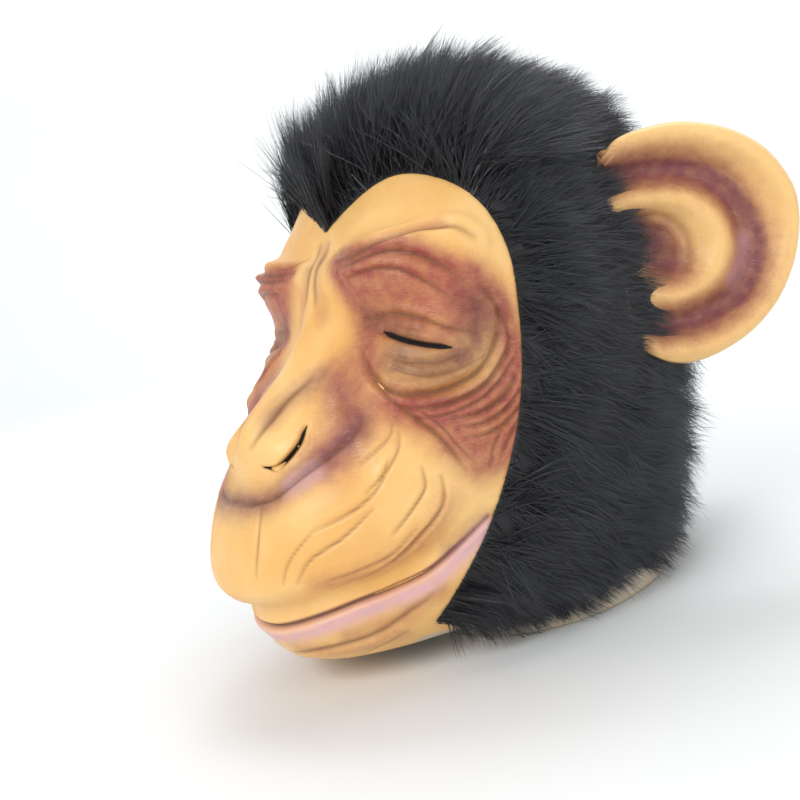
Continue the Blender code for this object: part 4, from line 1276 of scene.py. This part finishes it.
@dataclass
class FurPanel:
    """One panel of fake fur: a dark backing over the scalp and many thousands of tapered hairs in locks."""

    form: HeadForm
    node: str
    around: tuple[float, float]
    turns: tuple[float, float]
    side: float = 0.0
    hairs: int = 38500
    locks: int = 1500
    length: float = 0.026
    rise: float = 0.8
    width: float = 0.00036
    seed: int = 1
    hem: float = 0.013
    backing: float = 0.0022
    backing_cells: tuple[int, int] = (40, 30)
    fringe_lean: float = 0.0
    fringe_rise: float = 0.45
    brow_length: float = 0.0
    tries_a_hair: int = 4
    lock_turn: float = 0.36
    lock_length: float = 0.15
    lock_rise: float = 0.16
    own_turn: float = 0.16
    own_rise: float = 0.08
    gather: float = 0.68
    sweep: float = 0.22
    droop: float = 0.16
    fringe_depth: float = 0.020
    floor_gap: float = 0.0015
    ear_sweep: float = 57.0
    ear_seat: tuple[float, float, float] = (0.0825, 0.0231, 0.146)

    def first_turn(self, around: np.ndarray) -> np.ndarray:
        """Returns where the panel starts, in turn from the nose: at the face's edge if turns[0] is 0."""
        if self.turns[0] > 0.0:
            return np.full(around.shape, self.turns[0])
        return self.form.hairline(around)

    def spread(self, along: np.ndarray, across: np.ndarray) -> np.ndarray:
        """Returns directions for places in the panel, each from 0 to 1."""
        around = self.around[0] + (self.around[1] - self.around[0]) * along
        first = self.first_turn(around)
        direction = self.form.from_nose(around, first + (self.turns[1] - first) * across)
        if self.side < 0.0:
            direction = direction * np.array([-1.0, 1.0, 1.0])
        return direction

    def flow(self, root: np.ndarray, normal: np.ndarray) -> np.ndarray:
        """Returns the way the hair is combed at each root, along the surface."""
        aside = np.clip(np.abs(root[:, 0]) / (0.75 * self.form.half_width), 0.0, 1.0)[:, None]
        high = smooth_step((root[:, 2] - 0.10) / 0.09)[:, None]
        back = smooth_step((root[:, 1] - 0.02) / 0.07)[:, None]
        side_way = np.array([0.0, 1.0, -0.45]) + high * np.array([0.0, 0.0, 0.75])
        crown_way = np.array([0.0, 1.0, 0.25])
        nape_way = np.array([0.0, 0.25, -1.0])
        middle_way = crown_way * (1.0 - back) + nape_way * back
        wanted = side_way * aside + middle_way * (1.0 - aside)
        along = wanted - normal * np.sum(wanted * normal, axis=1, keepdims=True)
        return unit(along)

    def build(self, finish: bpy.types.Material) -> bpy.types.Object:
        """Builds the panel.

        Args:
            finish: The fur.

        Returns:
            The object.
        """
        chance = np.random.default_rng(self.seed)
        tries = self.tries_a_hair * self.hairs
        direction = self.spread(chance.random(tries), chance.random(tries))
        surface = self.form.point(direction)
        distance = np.linalg.norm(surface - self.form.core, axis=1)
        turn = np.arccos(np.clip(-direction[:, 1], -1.0, 1.0))
        weight = distance**2 * np.sin(turn)
        keep = chance.random(tries) < weight / weight.max()
        keep &= surface[:, 2] > self.hem
        direction = direction[keep][: self.hairs]
        normal = self.form.normal(direction)
        root = self.form.point(direction) + normal * self.backing * 0.4
        mesh = self.hair_mesh(root, normal, self.fringe(direction), chance)
        name = self.node + "_hair"
        return add_piece(name, mesh, self.node, finish)

    def fringe(self, direction: np.ndarray) -> np.ndarray:
        """Returns 1 at the face's edge, fading to 0 a little behind it."""
        turn = np.degrees(np.arccos(np.clip(-direction[:, 1], -1.0, 1.0)))
        around = np.degrees(np.arctan2(direction[:, 2], direction[:, 0]))
        behind = np.radians(turn - self.form.hairline(around)) * self.form.half_width
        return 1.0 - smooth_step(behind / self.fringe_depth)

    def hair_mesh(
        self, root: np.ndarray, normal: np.ndarray, fringe: np.ndarray, chance: np.random.Generator
    ) -> bpy.types.Mesh:
        """Lays out the hairs and the backing as one mesh.

        Args:
            root: Where each hair starts.
            normal: The scalp's normal there.
            fringe: How much each hair belongs to the fringe over the face, 0 to 1.
            chance: The seeded source of chance.

        Returns:
            The mesh.
        """
        count = len(root)
        lock_root = root[chance.integers(0, count, self.locks)]
        lock_of = self.nearest(root, lock_root)
        flow = self.flow(root, normal)
        over_face = np.array([0.0, -1.0, 0.10])
        over_face = over_face - normal * (normal @ over_face)[:, None]
        lean = (self.fringe_lean * fringe * (0.55 + 0.45 * chance.random(count)))[:, None]
        flow = unit(flow * (1.0 - lean) + unit(over_face) * lean + 1e-6)
        aside = np.cross(normal, flow)
        lock_turn = (self.lock_turn * chance.standard_normal(self.locks))[lock_of]
        lock_long = (1.0 + self.lock_length * chance.standard_normal(self.locks))[lock_of]
        lock_rise = (self.lock_rise * chance.standard_normal(self.locks))[lock_of]
        own_turn = lock_turn + self.own_turn * chance.standard_normal(count)
        combed = flow * np.cos(own_turn)[:, None] + aside * np.sin(own_turn)[:, None]
        rise = np.clip(self.rise + lock_rise + self.own_rise * chance.standard_normal(count), 0.08, 1.4)
        long = self.length * np.clip(lock_long, 0.6, 1.35) * (0.75 + 0.30 * chance.random(count))
        brow = smooth_step((-root[:, 1] - 0.005) / 0.050)
        long = long * self.edge_share(root) * (1.0 + self.brow_length * brow)
        rise = rise + self.fringe_rise * self.fringe_lean * fringe
        heading = unit(combed + normal * rise[:, None])
        gather = self.gather * (lock_root[lock_of] - root)
        gather = gather - normal * np.sum(gather * normal, axis=1, keepdims=True)
        stations = np.array([0.0, 0.34, 0.68, 1.0])
        path = np.zeros((count, len(stations), 3))
        for index, station in enumerate(stations):
            out = heading * (long * station)[:, None]
            droop = np.array([0.0, 0.0, -self.droop]) * (long * station**2)[:, None]
            swept = combed * (self.sweep * long * station**2)[:, None]
            path[:, index] = root + out + droop + swept + gather * station**1.4
        path = self.off_the_ear(path)
        path[..., 2] = np.maximum(path[..., 2], self.floor_gap)
        width_way = unit(np.cross(heading, normal) + 0.5 * chance.standard_normal((count, 3)))
        half = 0.5 * self.width * (0.7 + 0.6 * chance.random(count))
        taper = (1.0, 0.85, 0.55)
        points = np.zeros((count, 7, 3))
        for index, share in enumerate(taper):
            points[:, 2 * index] = path[:, index] - width_way * (half * share)[:, None]
            points[:, 2 * index + 1] = path[:, index] + width_way * (half * share)[:, None]
        points[:, 6] = path[:, 3]
        quads = np.array([(0, 1, 3, 2), (2, 3, 5, 4)])
        tip = np.array([4, 5, 6])
        base = 7 * np.arange(count)
        quad_faces = (quads[None] + base[:, None, None]).reshape(-1)
        tip_faces = (tip[None] + base[:, None]).reshape(-1)
        along = np.tile(np.array([0.0, 0.0, 0.34, 0.34, 0.68, 0.68, 1.0]), count)
        shade = np.repeat(np.clip(0.5 + 0.28 * chance.standard_normal(self.locks), 0.0, 1.0)[lock_of], 7)
        shell_points, shell_triangles = self.backing_shell()
        shell_faces = shell_triangles + 7 * count
        every_point = np.concatenate([points.reshape(-1, 3), shell_points])
        loops = np.concatenate([quad_faces, shell_faces.reshape(-1), tip_faces])
        sizes = np.concatenate([np.full(2 * count, 4), np.full(len(shell_faces) + count, 3)])
        starts = np.concatenate([[0], np.cumsum(sizes)[:-1]])
        mesh = bpy.data.meshes.new(self.node + "_hairs")
        mesh.vertices.add(len(every_point))
        mesh.loops.add(len(loops))
        mesh.polygons.add(len(sizes))
        mesh.vertices.foreach_set("co", every_point.astype(np.float32).ravel())
        mesh.loops.foreach_set("vertex_index", loops.astype(np.int32))
        mesh.polygons.foreach_set("loop_start", starts.astype(np.int32))
        mesh.update(calc_edges=True)
        mesh.validate()
        extra = np.zeros(len(shell_points))
        for name, values in (("along", along), ("lock", shade)):
            layer = mesh.attributes.new(name, "FLOAT", "POINT")
            layer.data.foreach_set("value", np.concatenate([values, extra]).astype(np.float32))
        return mesh

    def nearest(self, points: np.ndarray, centres: np.ndarray) -> np.ndarray:
        """Returns the index of the centre nearest to each point."""
        found = np.zeros(len(points), dtype=int)
        for start in range(0, len(points), 2000):
            part = points[start : start + 2000]
            square = np.sum(part**2, axis=1)[:, None] + np.sum(centres**2, axis=1)[None]
            found[start : start + 2000] = np.argmin(square - 2.0 * part @ centres.T, axis=1)
        return found

    def edge_share(self, root: np.ndarray) -> np.ndarray:
        """Returns how long the hair is at each root: shorter by the ear's root and near the hem."""
        seat = np.array(self.ear_seat)
        beside = np.abs(root * (1.0, 0.0, 0.0)) + root * (0.0, 1.0, 1.0) - seat
        near_ear = smooth_step((np.linalg.norm(beside * (1.0, 1.0, 0.45), axis=1) - 0.012) / 0.030)
        low = smooth_step((root[:, 2] - self.hem) / 0.030)
        return (0.85 + 0.15 * near_ear) * (0.6 + 0.4 * low)

    def off_the_ear(self, path: np.ndarray) -> np.ndarray:
        """Returns the hair paths with those that would run into an ear laid along it instead."""
        turn = math.radians(self.ear_sweep)
        seat = np.array(self.ear_seat)
        side = np.sign(path[:, :1, :1])
        folded = path * np.concatenate([side, np.ones_like(side), np.ones_like(side)], axis=2)
        facing = np.array([math.sin(turn), -math.cos(turn), 0.0])
        height = (folded - seat) @ facing
        beside_ear = (np.abs(folded[..., 2] - seat[2]) < 0.050) & (folded[..., 0] > 0.070)
        in_front = height[:, :1] > 0.0
        least = np.where(in_front, 0.002, -1.0)
        most = np.where(in_front, 1.0, -0.012)
        moved = np.clip(height, least, most)
        shift = np.where(beside_ear, moved - height, 0.0)
        folded = folded + shift[..., None] * facing
        return folded * np.concatenate([side, np.ones_like(side), np.ones_like(side)], axis=2)

    def backing_shell(self) -> tuple[np.ndarray, np.ndarray]:
        """Builds the panel's dark backing.

        Returns:
            Its points and its triangles.
        """
        shape = bmesh.new()
        across, down = self.backing_cells
        bmesh.ops.create_grid(shape, x_segments=across, y_segments=down, size=0.5)
        grid = np.array([vert.co for vert in shape.verts]) + 0.5
        direction = self.spread(0.002 + 0.996 * grid[:, 0], 0.008 + 0.992 * grid[:, 1])
        from_edge = np.minimum(grid[:, 1], np.minimum(grid[:, 0], 1.0 - grid[:, 0]))
        height = self.backing * (0.25 + 0.75 * smooth_step(from_edge / 0.08))
        place = self.form.point(direction) + self.form.normal(direction) * height[:, None]
        place[:, 2] = np.maximum(place[:, 2], self.hem)
        for vert, point in zip(shape.verts, place):
            vert.co = point
        bmesh.ops.remove_doubles(shape, verts=shape.verts, dist=1e-5)
        shape.normal_update()
        out = sum(face.normal.dot(face.calc_center_median() - Vector(self.form.core)) for face in shape.faces)
        if out < 0.0:
            bmesh.ops.reverse_faces(shape, faces=shape.faces)
        second_side(shape, 0.8 * self.backing)
        bmesh.ops.triangulate(shape, faces=shape.faces)
        shape.verts.index_update()
        points = np.array([vert.co for vert in shape.verts])
        triangles = np.array([[vert.index for vert in face.verts] for face in shape.faces])
        shape.free()
        return points, triangles


# Studio


@dataclass
class Studio:
    """Pale sweep, soft lights and the camera at the photograph's viewing angle."""

    azimuth: float = 50.0
    elevation: float = 4.0
    roll: float = 12.0
    distance: float = 0.450
    view_angle: float = 47.0
    target: tuple[float, float, float] = (0.0, 0.0111, 0.126)
    frame_shift: float = -75.0 / 800.0

    def camera(self) -> bpy.types.Object:
        """Places the camera and returns it."""
        turn = math.radians(self.azimuth)
        lift = math.radians(self.elevation)
        back = Vector((math.sin(turn) * math.cos(lift), -math.cos(turn) * math.cos(lift), math.sin(lift)))
        right = Vector((math.cos(turn), math.sin(turn), 0.0))
        up = back.cross(right)
        lean = math.radians(self.roll)
        right_leant = right * math.cos(lean) - up * math.sin(lean)
        up_leant = right * math.sin(lean) + up * math.cos(lean)
        data = bpy.data.cameras.new("camera")
        data.sensor_width = 36.0
        data.lens = 0.5 * data.sensor_width / math.tan(math.radians(0.5 * self.view_angle))
        data.shift_x = self.frame_shift
        data.shift_y = self.frame_shift
        data.clip_start = 0.01
        data.dof.use_dof = False
        made = bpy.data.objects.new("camera", data)
        place = Matrix((right_leant, up_leant, back)).transposed().to_4x4()
        place.translation = Vector(self.target) + back * self.distance
        made.matrix_world = place
        bpy.context.scene.collection.objects.link(made)
        bpy.context.scene.camera = made
        return made

    def sweep(self) -> bpy.types.Object:
        """Builds the pale bowl-shaped sweep that is floor and backdrop in one."""
        shape = bmesh.new()
        points = [Vector((0.0, 0.0, -0.0003)), Vector((2.2, 0.0, -0.0003))]
        for step in range(1, 17):
            angle = 0.5 * math.pi * step / 16
            points.append(Vector((2.2 + 0.9 * math.sin(angle), 0.0, 0.9 * (1.0 - math.cos(angle)))))
        points.append(Vector((3.1, 0.0, 3.0)))
        verts = [shape.verts.new(point) for point in points]
        edges = [shape.edges.new(pair) for pair in zip(verts[:-1], verts[1:])]
        bmesh.ops.spin(
            shape, geom=verts + edges, cent=(0, 0, 0), axis=(0, 0, 1), angle=math.tau, steps=64,
            use_merge=True,
        )
        bmesh.ops.remove_doubles(shape, verts=shape.verts, dist=1e-5)
        bmesh.ops.recalc_face_normals(shape, faces=shape.faces)
        mesh = bpy.data.meshes.new("sweep")
        shape.to_mesh(mesh)
        shape.free()
        mesh.shade_smooth()
        made, links, shader = new_material("pale_sweep")
        place = links.add("ShaderNodeTexCoord").outputs["Object"]
        tone = links.ramp(links.noise(place, 1.2, 2.0), 0.3, 0.7, (0.0, 1.0))
        links.join(links.blend(tone, (0.80, 0.82, 0.82), (0.83, 0.84, 0.84)), shader.inputs["Base Color"])
        shader.inputs["Roughness"].default_value = 0.8
        mesh.materials.append(made)
        floor = bpy.data.objects.new("sweep", mesh)
        bpy.context.scene.collection.objects.link(floor)
        return floor

    def light(
        self,
        name: str,
        place: tuple[float, float, float],
        size: float,
        power: float,
        aimed_at: tuple[float, float, float] | None = None,
    ) -> None:
        """Adds a soft square light.

        Args:
            name: Its name.
            place: Where it stands.
            size: Its side.
            power: Its watts.
            aimed_at: Where it points: the mask if none is given.
        """
        data = bpy.data.lights.new(name, "AREA")
        data.size = size
        data.energy = power
        made = bpy.data.objects.new(name, data)
        made.location = place
        aim = Vector(aimed_at or self.target) - Vector(place)
        made.rotation_euler = aim.to_track_quat("-Z", "Y").to_euler()
        bpy.context.scene.collection.objects.link(made)

    def build(self) -> None:
        """Builds camera, sweep, lights and sky."""
        self.camera()
        self.sweep()
        self.light("key", (0.35, -1.15, 0.95), 0.7, 10.0)
        self.light("fill", (1.3, 0.1, 0.6), 1.0, 4.0)
        self.light("top", (0.1, 0.5, 1.5), 1.0, 7.0)
        self.light("backdrop", (-0.7, 0.7, 2.4), 1.8, 56.0, (-2.2, 2.2, 0.6))
        sky = bpy.data.worlds.new("sky")
        sky.use_nodes = True
        ground = sky.node_tree.nodes["Background"]
        ground.inputs["Color"].default_value = (0.93, 0.96, 1.0, 1.0)
        ground.inputs["Strength"].default_value = 0.42
        bpy.context.scene.world = sky
        bpy.context.scene.view_settings.view_transform = "Standard"


@dataclass
class Mask:
    """The whole costume mask."""

    form: HeadForm = field(default_factory=HeadForm)

    def build(self) -> None:
        """Builds and dresses every piece."""
        brushed = broken_edge_group()
        skin = latex_skin_group()
        face_latex = LatexFinish("painted_face_latex").build(brushed, skin)
        ear_latex = LatexFinish("painted_ear_latex", base=(0.93, 0.58, 0.22)).build(brushed, skin)
        fur = FurFinish().build()
        LatexHead(self.form).build(face_latex)
        Ear(self.form, 1.0).build(ear_latex)
        Ear(self.form, -1.0).build(ear_latex)
        FurPanel(
            self.form, "crown_fur", (43.0, 137.0), (0.0, 112.0), length=0.029, fringe_lean=0.5,
            brow_length=0.42, seed=11,
        ).build(fur)
        for side, name, seed in ((1.0, "side_fur_left", 21), (-1.0, "side_fur_right", 22)):
            panel = FurPanel(
                self.form, name, (-64.0, 43.0), (0.0, 108.0), side, length=0.024, rise=0.3, seed=seed
            )
            panel.build(fur)
        FurPanel(
            self.form, "back_fur", (-90.0, 270.0), (108.0, 180.0), length=0.027, rise=0.5, seed=31
        ).build(fur)


def main() -> None:
    """Builds the studio and the mask."""
    logging.basicConfig(level=logging.INFO, format="%(name)s: %(message)s")
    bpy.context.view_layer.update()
    Studio().build()
    Mask().build()


if __name__ == "__main__":
    main()
